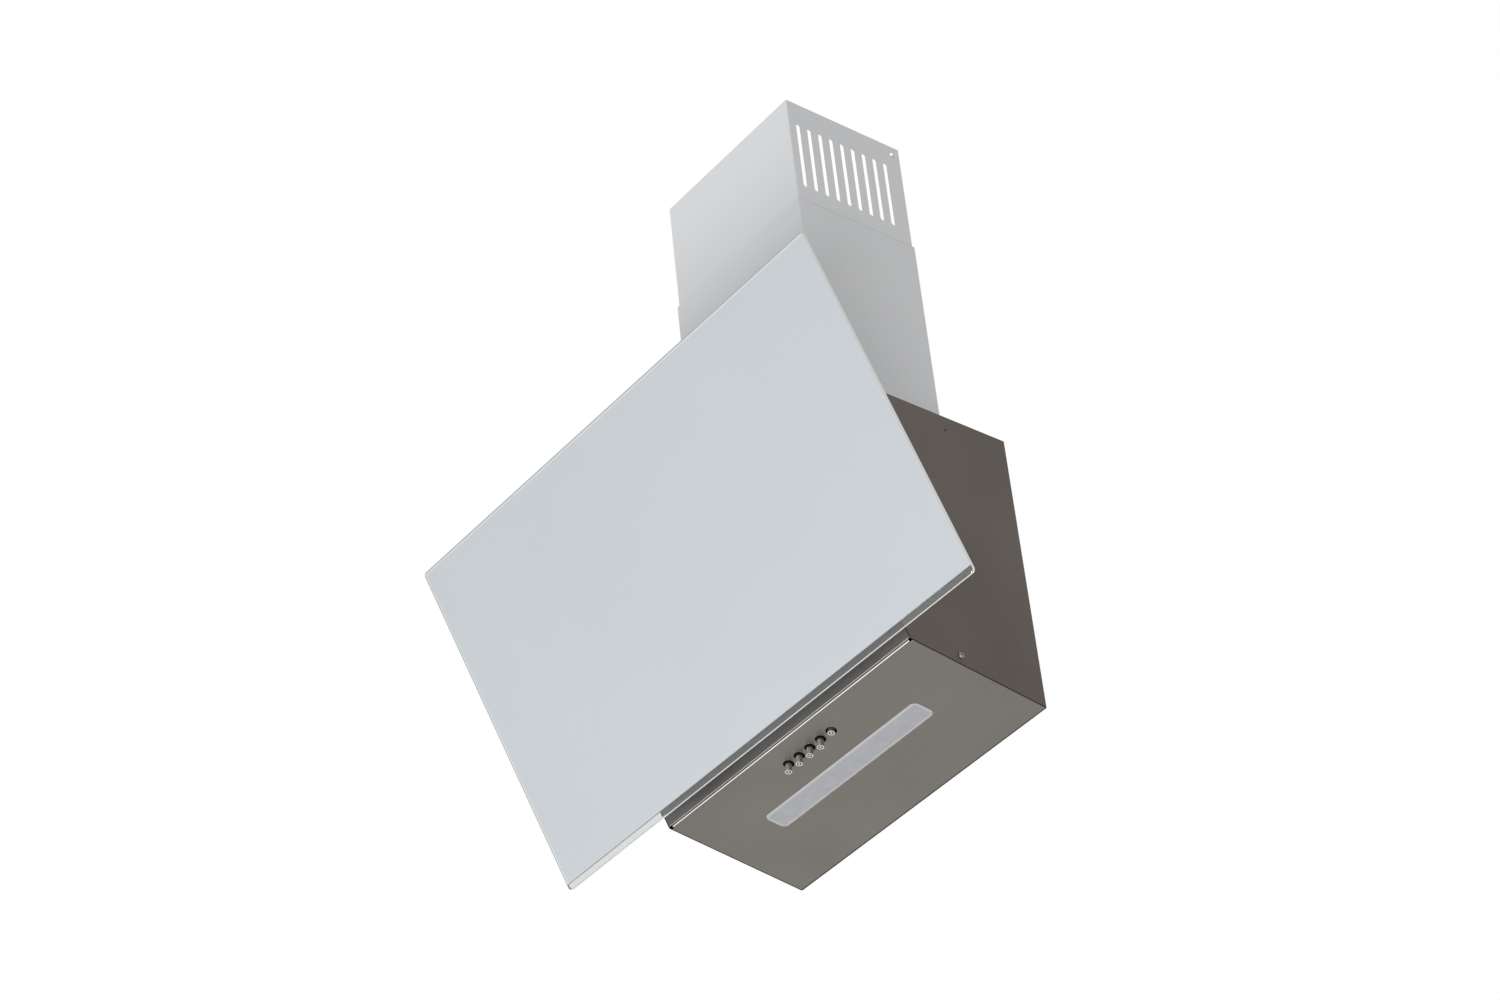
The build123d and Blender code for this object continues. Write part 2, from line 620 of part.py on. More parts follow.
with BuildPart() as chimney_upper:
    block(Plane.XY, around(0, UPPER_W), (UPPER_FRONT, UPPER_BACK), (UPPER_TOP - UPPER_H, UPPER_TOP))
    fillet(chimney_upper.edges().filter_by(Axis.Z), FOLD)
    inner_x = around(0, UPPER_W - 2 * SHEET)
    block(Plane.XY, inner_x, (UPPER_FRONT + SHEET, UPPER_BACK - SHEET), (0, BIG), Mode.SUBTRACT)
    gap_x = around(0, UPPER_W - 2 * BACK_LIP)
    block(Plane.XY, gap_x, (UPPER_BACK - 2 * SHEET, UPPER_BACK), (0, BIG), Mode.SUBTRACT)
    slot_y = [SLOT_FIRST_Y + index * SLOT_PITCH for index in range(SLOT_COUNT)]
    with BuildSketch(Plane.YZ) as slot_row:
        with Locations(*[(y, (SLOT_LOW + SLOT_TOP) / 2) for y in slot_y]):
            Rectangle(SLOT_W, SLOT_TOP - SLOT_LOW)
        chamfer(slot_row.vertices(), SLOT_BEVEL)
        with Locations((FIX_HOLE_Y, UPPER_TOP - FIX_HOLE_DROP)):
            Circle(FIX_HOLE_R)
    extrude(amount=UPPER_W, both=True, mode=Mode.SUBTRACT)
finish(chimney_upper, "chimney_upper")

for side, hand in ((-1, "left"), (1, "right")):
    with BuildPart() as chimney_foot:
        foot_x = sorted((side * FOOT_X, side * (FOOT_X - FOOT_H)))
        block(Plane.XY, foot_x, around(FOOT_Y, FOOT_L), (Z_TOP, Z_TOP + FOOT_T))
        web_x = sorted((side * FOOT_X, side * (FOOT_X - FOOT_T)))
        block(Plane.XY, web_x, around(FOOT_Y, FOOT_L), (Z_TOP, Z_TOP + FOOT_H))
        sided_rod(Plane.XY, side * FOOT_SCREW_X, FOOT_Y, (0, BIG), SCREW_HOLE_R, Mode.SUBTRACT)
    finish(chimney_foot, f"chimney_foot_{hand}")

with BuildPart() as chimney_screws:
    foot_top = Z_TOP + FOOT_T
    for side in (-1, 1):
        sided_rod(Plane.XY, side * FOOT_SCREW_X, FOOT_Y, (foot_top - SCREW_LENGTH, foot_top), SCREW_R)
    with BuildSketch(Plane.XY.offset(foot_top)):
        with Locations((-FOOT_SCREW_X, FOOT_Y), (FOOT_SCREW_X, FOOT_Y)):
            RegularPolygon(SCREW_HEAD_R, HEX_SIDE_COUNT)
    extrude(amount=SCREW_HEAD_T)
finish(chimney_screws, "chimney_screws")

# Blower scroll: three growing quarter arcs, then a straight wall up to the outlet
ARC_2 = SCROLL_R + SCROLL_STEP
ARC_3 = ARC_2 + SCROLL_STEP
STEP_X = FAN_X + SCROLL_STEP
OUTLET_X = STEP_X + ARC_3
SCROLL_FRONT = SCROLL_BACK + SCROLL_DEPTH

with BuildSketch(mode=Mode.PRIVATE) as scroll_shape:
    with BuildLine():
        CenterArc((FAN_X, 0), SCROLL_R, 90, 90)
        CenterArc((STEP_X, 0), ARC_2, 180, 90)
        CenterArc((STEP_X, SCROLL_STEP), ARC_3, 270, 90)
        Polyline((OUTLET_X, SCROLL_STEP), (OUTLET_X, SCROLL_TOP), (FAN_X, SCROLL_TOP), (FAN_X, SCROLL_R))
    make_face()

with BuildPart() as scroll_body:
    with BuildSketch(Plane.XZ.offset(SCROLL_BACK)):
        add(scroll_shape.sketch)
        offset(amount=SCROLL_WALL, kind=Kind.INTERSECTION)
    extrude(amount=SCROLL_DEPTH - SCROLL_WALL)
    with BuildSketch(Plane.XZ.offset(SCROLL_BACK + SCROLL_WALL)):
        add(scroll_shape.sketch)
    extrude(amount=SCROLL_DEPTH, mode=Mode.SUBTRACT)
    block(Plane.XY, (-BIG, BIG), (-BIG, BIG), (SCROLL_TOP, BIG), Mode.SUBTRACT)
    rod(Plane.XZ, FAN_X, 0, (0, SCROLL_BACK + 2 * SCROLL_WALL), MOTOR_NOSE_R + SHEET, Mode.SUBTRACT)
    arm_axis = Plane(origin=(FAN_X, -SCROLL_BACK, 0), x_dir=(1, 0, 0), z_dir=(0, -1, 0))
    with BuildSketch(arm_axis):
        with PolarLocations(ARM_R, SPIDER_ARMS, 90):
            RegularPolygon(SCREW_HOLE_R, HEX_SIDE_COUNT)
    extrude(amount=2 * SCROLL_WALL, both=True, mode=Mode.SUBTRACT)
finish(scroll_body, "scroll_body")

with BuildPart() as scroll_cover:
    with BuildSketch(Plane.XZ.offset(SCROLL_FRONT - SCROLL_WALL)):
        add(scroll_shape.sketch)
        offset(amount=SCROLL_WALL, kind=Kind.INTERSECTION)
        with Locations((FAN_X, 0)):
            Circle(INLET_R, mode=Mode.SUBTRACT)
    extrude(amount=SCROLL_WALL)
    block(Plane.XY, (-BIG, BIG), (-BIG, BIG), (SCROLL_TOP, BIG), Mode.SUBTRACT)
    fan_axis = Plane(origin=(FAN_X, -SCROLL_FRONT, 0), x_dir=(1, 0, 0), z_dir=(0, 0, 1))
    with BuildSketch(fan_axis):
        with Locations((INLET_R + MOUTH_R / 2, -MOUTH_R / 2)):
            Rectangle(MOUTH_R, MOUTH_R)
    revolve(axis=Axis((FAN_X, 0, 0), (0, 1, 0)))
    mouth = scroll_cover.edges().filter_by(GeomType.CIRCLE).group_by(Axis.Y)[0].sort_by(SortBy.RADIUS)
    chamfer(mouth[0], MOUTH_BEVEL)
finish(scroll_cover, "scroll_cover")

# Rings of the guard go from the outside in, because each one clears what lies inside it
with BuildPart() as inlet_guard:
    guard_y = SCROLL_FRONT + MOUTH_R
    with BuildSketch(Plane.XZ.offset(guard_y)):
        with Locations((FAN_X, 0)):
            Circle(INLET_R + MOUTH_R)
            Circle(INLET_R + MOUTH_R - GUARD_WIRE, mode=Mode.SUBTRACT)
            for ring in GUARD_RINGS:
                RegularPolygon(ring + GUARD_WIRE / 2, GUARD_SIDE_COUNT)
                RegularPolygon(ring - GUARD_WIRE / 2, GUARD_SIDE_COUNT, mode=Mode.SUBTRACT)
            with PolarLocations(0, GUARD_SPOKES):
                Rectangle(2 * (INLET_R + MOUTH_R - GUARD_WIRE), GUARD_WIRE)
    extrude(amount=GUARD_WIRE)
finish(inlet_guard, "inlet_guard")

# Impeller and motor
FAN_PLANE = Plane(origin=(FAN_X, 0, 0), x_dir=(1, 0, 0), z_dir=(0, -1, 0))
BLADE_MID_R = (BLADE_IN_R + BLADE_OUT_R) / 2

BLADE_BEND = [(BLADE_IN_R, 0), (BLADE_MID_R, BLADE_BOW), (BLADE_OUT_R, BLADE_LEAN)]
BLADE_FAR = [(radius, rise + BLADE_T) for radius, rise in reversed(BLADE_BEND)]

with BuildPart() as impeller:
    rod(FAN_PLANE, 0, 0, (FAN_BACK, FAN_BACK + FAN_DISC), FAN_R)
    rod(FAN_PLANE, 0, 0, (FAN_BACK, FAN_BACK + HUB_L), HUB_R)
    with BuildSketch(FAN_PLANE.offset(FAN_BACK + FAN_DISC)):
        with PolarLocations(0, BLADE_COUNT):
            Polygon(*BLADE_BEND, *BLADE_FAR, align=None)
    extrude(amount=FAN_FRONT - FAN_BACK - 2 * FAN_DISC)
    with BuildSketch(FAN_PLANE.offset(FAN_FRONT - FAN_DISC)):
        Circle(FAN_R)
        Circle(BLADE_IN_R - BLADE_T, mode=Mode.SUBTRACT)
    extrude(amount=FAN_DISC)
    rod(FAN_PLANE, 0, 0, (0, BIG), SHAFT_R + PIN_FIT, Mode.SUBTRACT)
finish(impeller, "impeller")

with BuildPart() as rotor_shaft:
    rod(FAN_PLANE, 0, 0, (SHAFT_BACK, SHAFT_FRONT), SHAFT_R)
finish(rotor_shaft, "rotor_shaft")

with BuildPart() as impeller_nut:
    with BuildSketch(FAN_PLANE.offset(FAN_BACK + HUB_L)):
        RegularPolygon(NUT_R, HEX_SIDE_COUNT)
        Circle(SHAFT_R + PIN_FIT, mode=Mode.SUBTRACT)
    extrude(amount=NUT_L)
finish(impeller_nut, "impeller_nut")

with BuildPart() as motor_body:
    block(FAN_PLANE, around(0, MOTOR_W), around(0, MOTOR_W), (MOTOR_BACK, MOTOR_FRONT))
    chamfer(motor_body.edges().filter_by(Axis.Y), MOTOR_CORNER)
    rod(FAN_PLANE, 0, 0, (MOTOR_FRONT, SCROLL_BACK + SHEET), MOTOR_NOSE_R)
    rod(FAN_PLANE, 0, 0, (SHAFT_BACK - SHEET, BIG), SHAFT_R + PIN_FIT, Mode.SUBTRACT)
finish(motor_body, "motor_body")

with BuildPart() as motor_bracket:
    with BuildSketch(FAN_PLANE.offset(MOTOR_FRONT)):
        Circle(SPIDER_R)
        arm_l = ARM_R + SPIDER_ARM_W / 2
        with PolarLocations(arm_l / 2, SPIDER_ARMS, 90):
            Rectangle(arm_l, SPIDER_ARM_W)
        with PolarLocations(ARM_R, SPIDER_ARMS, 90):
            RegularPolygon(SCREW_HOLE_R, HEX_SIDE_COUNT, mode=Mode.SUBTRACT)
        Circle(MOTOR_NOSE_R + PIN_FIT, mode=Mode.SUBTRACT)
    extrude(amount=SPIDER_T)
finish(motor_bracket, "motor_bracket")

with BuildPart() as motor_screws:
    with BuildSketch(FAN_PLANE.offset(MOTOR_FRONT - SCREW_HEAD_T)):
        with PolarLocations(ARM_R, SPIDER_ARMS, 90):
            RegularPolygon(SCREW_HEAD_R, HEX_SIDE_COUNT)
    extrude(amount=SCREW_HEAD_T)
    with BuildSketch(FAN_PLANE.offset(MOTOR_FRONT)):
        with PolarLocations(ARM_R, SPIDER_ARMS, 90):
            RegularPolygon(SCREW_R, HEX_SIDE_COUNT)
    extrude(amount=SPIDER_T + SCROLL_WALL)
finish(motor_screws, "motor_screws")

# Outlet: rectangle to octagon, round collar and two back-draught flaps
DUCT_D = SCROLL_DEPTH - 2 * SCROLL_WALL
DUCT_IN_R = COLLAR_R - COLLAR_WALL
ADAPTOR_TOP = Z_TOP - SHEET

EIGHTH = 45


def funnel(wall):
    """Eight flat sides that lean from the blower's outlet to an octagon round the duct."""
    half_w = (OUTLET_X - FAN_X) / 2 + wall
    half_d = DUCT_D / 2 + wall
    corner_out = (half_w + half_d - ADAPTOR_R) / sqrt(2)
    height = ADAPTOR_TOP - SCROLL_TOP
    with BuildPart(mode=Mode.PRIVATE) as shape:
        block(Plane.XY, (-BIG, BIG), (-BIG, BIG), (SCROLL_TOP, ADAPTOR_TOP))
        for index, low in enumerate((half_w, corner_out, half_d, corner_out) * 2):
            across = cos(radians(index * EIGHTH))
            along = sin(radians(index * EIGHTH))
            lean = low - DUCT_IN_R - wall
            foot = (low * across, DUCT_Y + low * along, SCROLL_TOP)
            side = Plane(origin=foot, z_dir=(height * across, height * along, lean))
            split(bisect_by=side, keep=Keep.BOTTOM)
    return shape.part


with BuildPart() as outlet_adaptor:
    add(funnel(ADAPTOR_T))
    add(funnel(0), mode=Mode.SUBTRACT)
finish(outlet_adaptor, "outlet_adaptor")

DUCT_PLANE = Plane(origin=(0, DUCT_Y, Z_TOP), x_dir=(1, 0, 0), z_dir=(0, 0, 1))
FLAP_Z = LEDGE_Z + LEDGE_T + FLAP_LIFT
FLAP_PIN_Z = FLAP_Z + FLAP_PIN_UP
FLAP_AXIS = Plane(origin=(0, DUCT_Y, Z_TOP + FLAP_PIN_Z), x_dir=(0, 1, 0), z_dir=(1, 0, 0))
LEDGE_FACE = (LEDGE_Z, LEDGE_Z + LEDGE_T)

with BuildPart() as duct_collar:
    rod(DUCT_PLANE, 0, 0, (0, COLLAR_FLANGE_T), COLLAR_FLANGE_R)
    rod(DUCT_PLANE, 0, 0, (0, COLLAR_H), COLLAR_R)
    rod(DUCT_PLANE, 0, 0, (0, COLLAR_H), DUCT_IN_R, Mode.SUBTRACT)
    with BuildSketch(DUCT_PLANE.offset(LEDGE_Z)):
        Circle(DUCT_IN_R + COLLAR_WALL / 2)
        Circle(LEDGE_R, mode=Mode.SUBTRACT)
    extrude(amount=LEDGE_T)
    block(DUCT_PLANE, (-DUCT_IN_R, DUCT_IN_R), around(0, FLAP_BAR_W), LEDGE_FACE)
    for side in (-1, 1):
        pin_hole = 2 * (FLAP_PIN_R + PIN_FIT)
        pin_y = around(side * FLAP_PIN_Y, pin_hole)
        block(FLAP_AXIS, pin_y, around(0, pin_hole), (-COLLAR_R, COLLAR_R), Mode.SUBTRACT)
finish(duct_collar, "duct_collar")

with BuildPart() as flap_pins:
    for side in (-1, 1):
        rod(FLAP_AXIS, side * FLAP_PIN_Y, 0, around(0, 2 * COLLAR_R - COLLAR_WALL), FLAP_PIN_R)
finish(flap_pins, "flap_pins")

for side, name in ((-1, "flap_front"), (1, "flap_rear")):
    pin_y = side * FLAP_PIN_Y
    with BuildPart() as flap:
        rod(DUCT_PLANE, 0, 0, (FLAP_Z, FLAP_Z + FLAP_T), FLAP_R)
        cut_y = sorted((pin_y, -side * BIG))
        block(DUCT_PLANE, (-BIG, BIG), cut_y, (0, BIG), Mode.SUBTRACT)
        for hand in (-1, 1):
            knuckle_x = around(hand * FLAP_KNUCKLE_X, FLAP_KNUCKLE_W)
            rod(FLAP_AXIS, pin_y, 0, knuckle_x, FLAP_KNUCKLE_R)
            web_y = sorted((pin_y, pin_y + side * FLAP_KNUCKLE_R))
            block(DUCT_PLANE, knuckle_x, web_y, (FLAP_Z + FLAP_T / 2, FLAP_PIN_Z))
        rod(FLAP_AXIS, pin_y, 0, (-BIG, BIG), FLAP_PIN_R + PIN_FIT, Mode.SUBTRACT)
    finish(flap, name)

# Electrical pieces on the back wall and the cable outlet
GROMMET_RINGS = (
    ((Z_TOP - SHEET, Z_TOP), GROMMET_R, Mode.ADD),
    ((Z_TOP, Z_TOP + GROMMET_LIP_T), GROMMET_LIP_R, Mode.ADD),
    ((Z_TOP - SHEET - GROMMET_LIP_T, Z_TOP - SHEET), GROMMET_LIP_R, Mode.ADD),
    ((0, BIG), GROMMET_BORE_R, Mode.SUBTRACT),
)

with BuildPart() as cable_grommet:
    for heights, ring_r, mode in GROMMET_RINGS:
        sided_rod(Plane.XY, GROMMET_X, GROMMET_Y, heights, ring_r, mode, GROMMET_SIDE_COUNT)
finish(cable_grommet, "cable_grommet")

with BuildPart() as terminal_box:
    depth = SCROLL_BACK - SHEET - LID_T - ELECTRIC_ROOM
    block(
        Plane.XY,
        around(ELECTRIC_X, TERMINAL_SIZE[0]),
        (-SHEET - depth, -SHEET),
        around(TERMINAL_Z, TERMINAL_SIZE[1]),
    )
    chamfer(terminal_box.edges().filter_by(Axis.Y), EDGE_BEVEL)
finish(terminal_box, "terminal_box")

with BuildPart() as terminal_lid:
    block(
        Plane.XY,
        around(ELECTRIC_X, TERMINAL_SIZE[0] + 2 * LID_T),
        (-SHEET - depth - LID_T, -SHEET - depth),
        around(TERMINAL_Z, TERMINAL_SIZE[1] + 2 * LID_T),
    )
    chamfer(terminal_lid.edges().filter_by(Axis.Y), EDGE_BEVEL)
finish(terminal_lid, "terminal_lid")

with BuildPart() as led_driver:
    block(
        Plane.XY,
        around(ELECTRIC_X, DRIVER_SIZE[0]),
        (-SHEET - DRIVER_SIZE[1], -SHEET),
        around(DRIVER_Z, DRIVER_SIZE[2]),
    )
    chamfer(led_driver.edges().filter_by(Axis.Y), EDGE_BEVEL)
finish(led_driver, "led_driver")

with BuildPart() as run_capacitor:
    block(
        Plane.XY,
        around(ELECTRIC_X, CAPACITOR_SIZE[0]),
        (-SHEET - CAPACITOR_SIZE[1], -SHEET),
        around(CAPACITOR_Z, CAPACITOR_SIZE[2]),
    )
    chamfer(run_capacitor.edges().filter_by(Axis.Y), EDGE_BEVEL)
finish(run_capacitor, "run_capacitor")
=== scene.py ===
"""Inclined wall hood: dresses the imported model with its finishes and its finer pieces."""

import json
from math import atan2, cos, radians, sin

import bmesh
import bpy
from mathutils import Matrix, Vector

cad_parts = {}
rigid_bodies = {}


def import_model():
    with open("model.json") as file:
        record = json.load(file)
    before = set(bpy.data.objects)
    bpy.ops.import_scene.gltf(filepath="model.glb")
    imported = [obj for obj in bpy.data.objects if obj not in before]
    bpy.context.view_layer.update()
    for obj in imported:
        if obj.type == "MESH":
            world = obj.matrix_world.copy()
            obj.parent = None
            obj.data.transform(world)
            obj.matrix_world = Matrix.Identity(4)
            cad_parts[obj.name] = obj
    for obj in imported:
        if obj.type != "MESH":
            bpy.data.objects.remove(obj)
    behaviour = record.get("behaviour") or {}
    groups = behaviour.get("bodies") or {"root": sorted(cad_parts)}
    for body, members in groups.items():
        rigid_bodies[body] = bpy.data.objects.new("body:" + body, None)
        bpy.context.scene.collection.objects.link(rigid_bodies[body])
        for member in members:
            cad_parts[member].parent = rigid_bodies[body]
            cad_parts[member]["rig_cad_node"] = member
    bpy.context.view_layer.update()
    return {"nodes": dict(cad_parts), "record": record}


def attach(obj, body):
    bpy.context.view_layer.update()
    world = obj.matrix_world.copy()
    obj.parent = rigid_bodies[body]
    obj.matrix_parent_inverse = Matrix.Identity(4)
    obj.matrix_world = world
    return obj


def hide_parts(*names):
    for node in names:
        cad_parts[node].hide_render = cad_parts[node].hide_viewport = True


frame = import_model()
nodes = frame["nodes"]

MM = 0.001

# Slopes of the front and the bottom, as the solids have them
TILT = radians(25.4)
BODY_D = 156 * MM
BODY_H = 302 * MM
BOTTOM_RISE = 22 * MM
SLOPE = atan2(BOTTOM_RISE, BODY_D)

# Sides of the body, where screws and rivets point outwards
SIDE_X = 180 * MM
QUARTER_TURN = radians(90)

# Glass front
GLASS_W = 600 * MM
GLASS_H = 350 * MM
GLASS_T = 4 * MM
GLASS_GAP = 29 * MM
GLASS_LOW = 1 * MM
GLASS_R = 4 * MM
GLASS_ARRIS = 0.5 * MM
SHADE_BAND = 1.6 * MM
HIGHLIGHT_BAND = 1.4 * MM
CLEAR_STRIP = 6.4 * MM

# Lamp lens
LAMP_W = 222 * MM
LAMP_H = 25 * MM
LAMP_R = 6 * MM
LAMP_U = 86 * MM
LAMP_LIP = 4 * MM
LAMP_LOW = -3.5 * MM
LAMP_SEAT = -1 * MM
LAMP_FACE = -0.4 * MM
LAMP_EDGE = 0.2 * MM
LAMP_RIM = 2.2 * MM
LAMP_SHIFT = 0.6 * MM
LAMP_DISH = 0.25 * MM

# Push-buttons
BUTTON_COUNT = 5
BUTTON_PITCH = 15.8 * MM
BUTTON_U = 130.6 * MM
BUTTON_R = 3.35 * MM
BUTTON_OUT = 9.3 * MM
BUTTON_TRAVEL = 6.6 * MM
BUTTON_STEM = 19.3 * MM
BUTTON_EDGE = 0.3 * MM
CAP_LENGTH = 8.7 * MM
RING_OUT = 2.25 * MM
RING_IN = 1.15 * MM
RING_DEEP = 0.45 * MM

# Side screws
SCREW_Y = -98 * MM
SCREW_Z = -128 * MM
SCREW_R = 3.2 * MM
SCREW_HEAD = 1.6 * MM
SCREW_DOME = 1.4 * MM
SCREW_SPIN = radians(25)
RECESS_L = 4.0 * MM
RECESS_W = 1.1 * MM

# Blind rivets near the top of the sides
RIVET_Y = -75 * MM
RIVET_Z = 135 * MM
RIVET_R = 2.1 * MM
RIVET_L = 3.5 * MM
RIVET_PROUD = 0.2 * MM
RIVET_EYE = 0.9 * MM
RIVET_DISH = 0.5 * MM

# Expanded metal of the filter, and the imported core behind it
MESH_W = 264 * MM
MESH_LOW = 72 * MM
MESH_TOP = 252 * MM
MESH_N = -3.6 * MM
CELL_W = 12 * MM
CELL_H = 6 * MM
STRAND = 0.9 * MM
STRAND_T = 0.8 * MM
CORE_N = -6.4 * MM
CORE_T = 1.4 * MM

# Fold at the lower front edge, which gets a painted highlight: how far forward it starts, how
# far out it reaches between its notches, and how much of its normal points down, at least
FOLD_FROM = 140 * MM
FOLD_REACH = 175 * MM
FOLD_DOWN = 0.55

# Cut edges: the bevel on a sheet, how far the casing's lower edge (painted shade) is from the
# underside, how far the front panel's (painted highlight) is above the body's corner, and the
# width of the painted shade line on the chimney
SHEET_EDGE = 0.22 * MM
CUT_ZONE = 0.6 * MM
FRONT_CUT = 2 * MM
SHADE_LINE = 0.8 * MM

# Points closer than this are one point, and faces within this angle are one flat
MERGE = 0.002 * MM
ONE_FLAT = radians(0.5)

# How finely rounded edges and round pieces are cut
CORNER_SEGMENTS = 8
DOME_SEGMENTS = 6
LENS_SEGMENTS = 3
EDGE_SEGMENTS = 2
BUTTON_SIDES = 48
SCREW_SIDES = 40
RIVET_SIDES = 32
DIAMOND_SIDES = 4

# Edges sharper than this many degrees stay sharp
GLASS_SMOOTH = 15
SHEET_SMOOTH = 30
HEAD_SMOOTH = 35
BUTTON_SMOOTH = 40

# How much of a face's normal lies along an axis: nearly all, half, or the most in a wall
FACING = 0.9
HALFWAY = 0.5
WALL_MOST = 0.8

# The same across the pane: its flat sides, its bevel in front, and anything in front
PANE_FLAT = 0.99
PANE_BEVEL = 0.3
PANE_FRONT = 0.1

# Frames of the front and the underside: X across, Y up the slope or forwards, Z outwards
FRONT = Matrix.Translation((0, -BODY_D, BOTTOM_RISE - BODY_H / 2)) @ Matrix((
    (1, 0, 0, 0),
    (0, -sin(TILT), -cos(TILT), 0),
    (0, cos(TILT), -sin(TILT), 0),
    (0, 0, 0, 1),
))
UNDERSIDE = Matrix.Translation((0, 0, -BODY_H / 2)) @ Matrix((
    (1, 0, 0, 0),
    (0, -cos(SLOPE), -sin(SLOPE), 0),
    (0, sin(SLOPE), -cos(SLOPE), 0),
    (0, 0, 0, 1),
))


# Finishes

# Rolled sheet is a little uneven in tone over a hand's breadth
SHEET_WAVE_MM = 110
BROAD_SHARE = 0.6

# Detail of each noise, and the relief of brushed lines and of zinc crystals
LINE_DETAIL = 3.0
WAVE_DETAIL = 1.0
GRAIN_DETAIL = 2.0
LINE_BUMP_MM = 0.02
LINE_STRENGTH = 0.25
CRYSTAL_BUMP_MM = 0.01
CRYSTAL_STRENGTH = 0.1

# Directions that brushed lines run in
ALONG_X = 0
ALONG_Z = 2

# Sockets of the Mix node, whose kinds of data share their names
MIX_FACTOR = 0
MIX_A_VALUE = 2
MIX_B_VALUE = 3
MIX_A_COLOUR = 6
MIX_B_COLOUR = 7
MIXED_VALUE = 0
MIXED_COLOUR = 2


def linear(hex_colour):
    """Linear RGBA of an sRGB hex colour."""
    channels = [int(hex_colour[i:i + 2], 16) / 255 for i in (1, 3, 5)]
    return [c / 12.92 if c <= 0.04045 else ((c + 0.055) / 1.055) ** 2.4 for c in channels] + [1.0]


def per_mm(size):
    """Texture scale whose features are about this many millimetres across."""
    return 1 / (size * MM)


def add(tree, kind, values=None, links=None, **settings):
    """Add a node with its settings, its fixed inputs and its links."""
    made = tree.nodes.new(kind)
    for key, value in settings.items():
        setattr(made, key, value)
    for key, value in (values or {}).items():
        made.inputs[key].default_value = value
    for key, socket in (links or {}).items():
        tree.links.new(socket, made.inputs[key])
    return made


def finish_named(name, **sockets):
    """New material with its tree, its shader and the piece's own coordinates."""
    material = bpy.data.materials.new(name)
    material.use_nodes = True
    tree = material.node_tree
    shader = tree.nodes["Principled BSDF"]
    for key, value in sockets.items():
        shader.inputs[key.replace("_", " ")].default_value = value
    place = add(tree, "ShaderNodeTexCoord").outputs["Object"]
    return material, tree, shader, place


def colour_by(tree, shader, factor, colours):
    """Let a pattern drive the colour alone."""
    dark, light = (linear(colour) for colour in colours)
    tint = add(
        tree, "ShaderNodeMix", {MIX_A_COLOUR: dark, MIX_B_COLOUR: light}, {MIX_FACTOR: factor},
        data_type="RGBA")
    tree.links.new(tint.outputs[MIXED_COLOUR], shader.inputs["Base Color"])


def vary(tree, shader, factor, colours, roughness, bump_mm, strength):
    """Let one pattern drive colour, roughness and relief."""
    colour_by(tree, shader, factor, colours)
    least, most = roughness
    gloss = add(
        tree, "ShaderNodeMapRange", {"To Min": least, "To Max": most}, {"Value": factor})
    relief = add(
        tree, "ShaderNodeBump", {"Distance": bump_mm * MM, "Strength": strength},
        {"Height": factor})
    tree.links.new(gloss.outputs["Result"], shader.inputs["Roughness"])
    tree.links.new(relief.outputs["Normal"], shader.inputs["Normal"])


def brushed(name, colours, roughness, along, across_mm, length_mm):
    """Sheet metal rubbed in one direction: long fine lines that break up the gloss."""
    material, tree, shader, place = finish_named(name, Metallic=1.0)
    scale = [per_mm(across_mm)] * 3
    scale[along] = per_mm(length_mm)
    drawn_out = add(tree, "ShaderNodeMapping", {"Scale": scale}, {"Vector": place})
    lines = add(
        tree, "ShaderNodeTexNoise", {"Scale": 1.0, "Detail": LINE_DETAIL},
        {"Vector": drawn_out.outputs["Vector"]})
    broad = add(
        tree, "ShaderNodeTexNoise", {"Scale": per_mm(SHEET_WAVE_MM), "Detail": WAVE_DETAIL},
        {"Vector": place})
    both = add(
        tree, "ShaderNodeMix", {MIX_FACTOR: BROAD_SHARE},
        {MIX_A_VALUE: lines.outputs["Fac"], MIX_B_VALUE: broad.outputs["Fac"]})
    pattern = both.outputs[MIXED_VALUE]
    vary(tree, shader, pattern, colours, roughness, LINE_BUMP_MM, LINE_STRENGTH)
    return material


def speckled(name, colours, roughness, grain_mm, bump_mm, strength, **sockets):
    """Surface with an even fine grain, such as moulded plastic, paint or plate."""
    material, tree, shader, place = finish_named(name, **sockets)
    grain = add(
        tree, "ShaderNodeTexNoise", {"Scale": per_mm(grain_mm), "Detail": GRAIN_DETAIL},
        {"Vector": place})
    vary(tree, shader, grain.outputs["Fac"], colours, roughness, bump_mm, strength)
    return material


def filmed(name, colours, film_mm, **sockets):
    """Polished glass, mirror-smooth all over, under a film that is a little uneven."""
    material, tree, shader, place = finish_named(name, Roughness=0.0, **sockets)
    film = add(
        tree, "ShaderNodeTexNoise", {"Scale": per_mm(film_mm), "Detail": GRAIN_DETAIL},
        {"Vector": place})
    colour_by(tree, shader, film.outputs["Fac"], colours)
    return material


def spangled(name, colours, roughness, crystal_mm):
    """Zinc-coated sheet: flat crystals, each a little lighter or darker than the next."""
    material, tree, shader, place = finish_named(name, Metallic=1.0)
    crystals = add(
        tree, "ShaderNodeTexVoronoi", {"Scale": per_mm(crystal_mm)}, {"Vector": place})
    shade = add(tree, "ShaderNodeSeparateColor", links={"Color": crystals.outputs["Color"]})
    pattern = shade.outputs["Red"]
    vary(tree, shader, pattern, colours, roughness, CRYSTAL_BUMP_MM, CRYSTAL_STRENGTH)
    return material
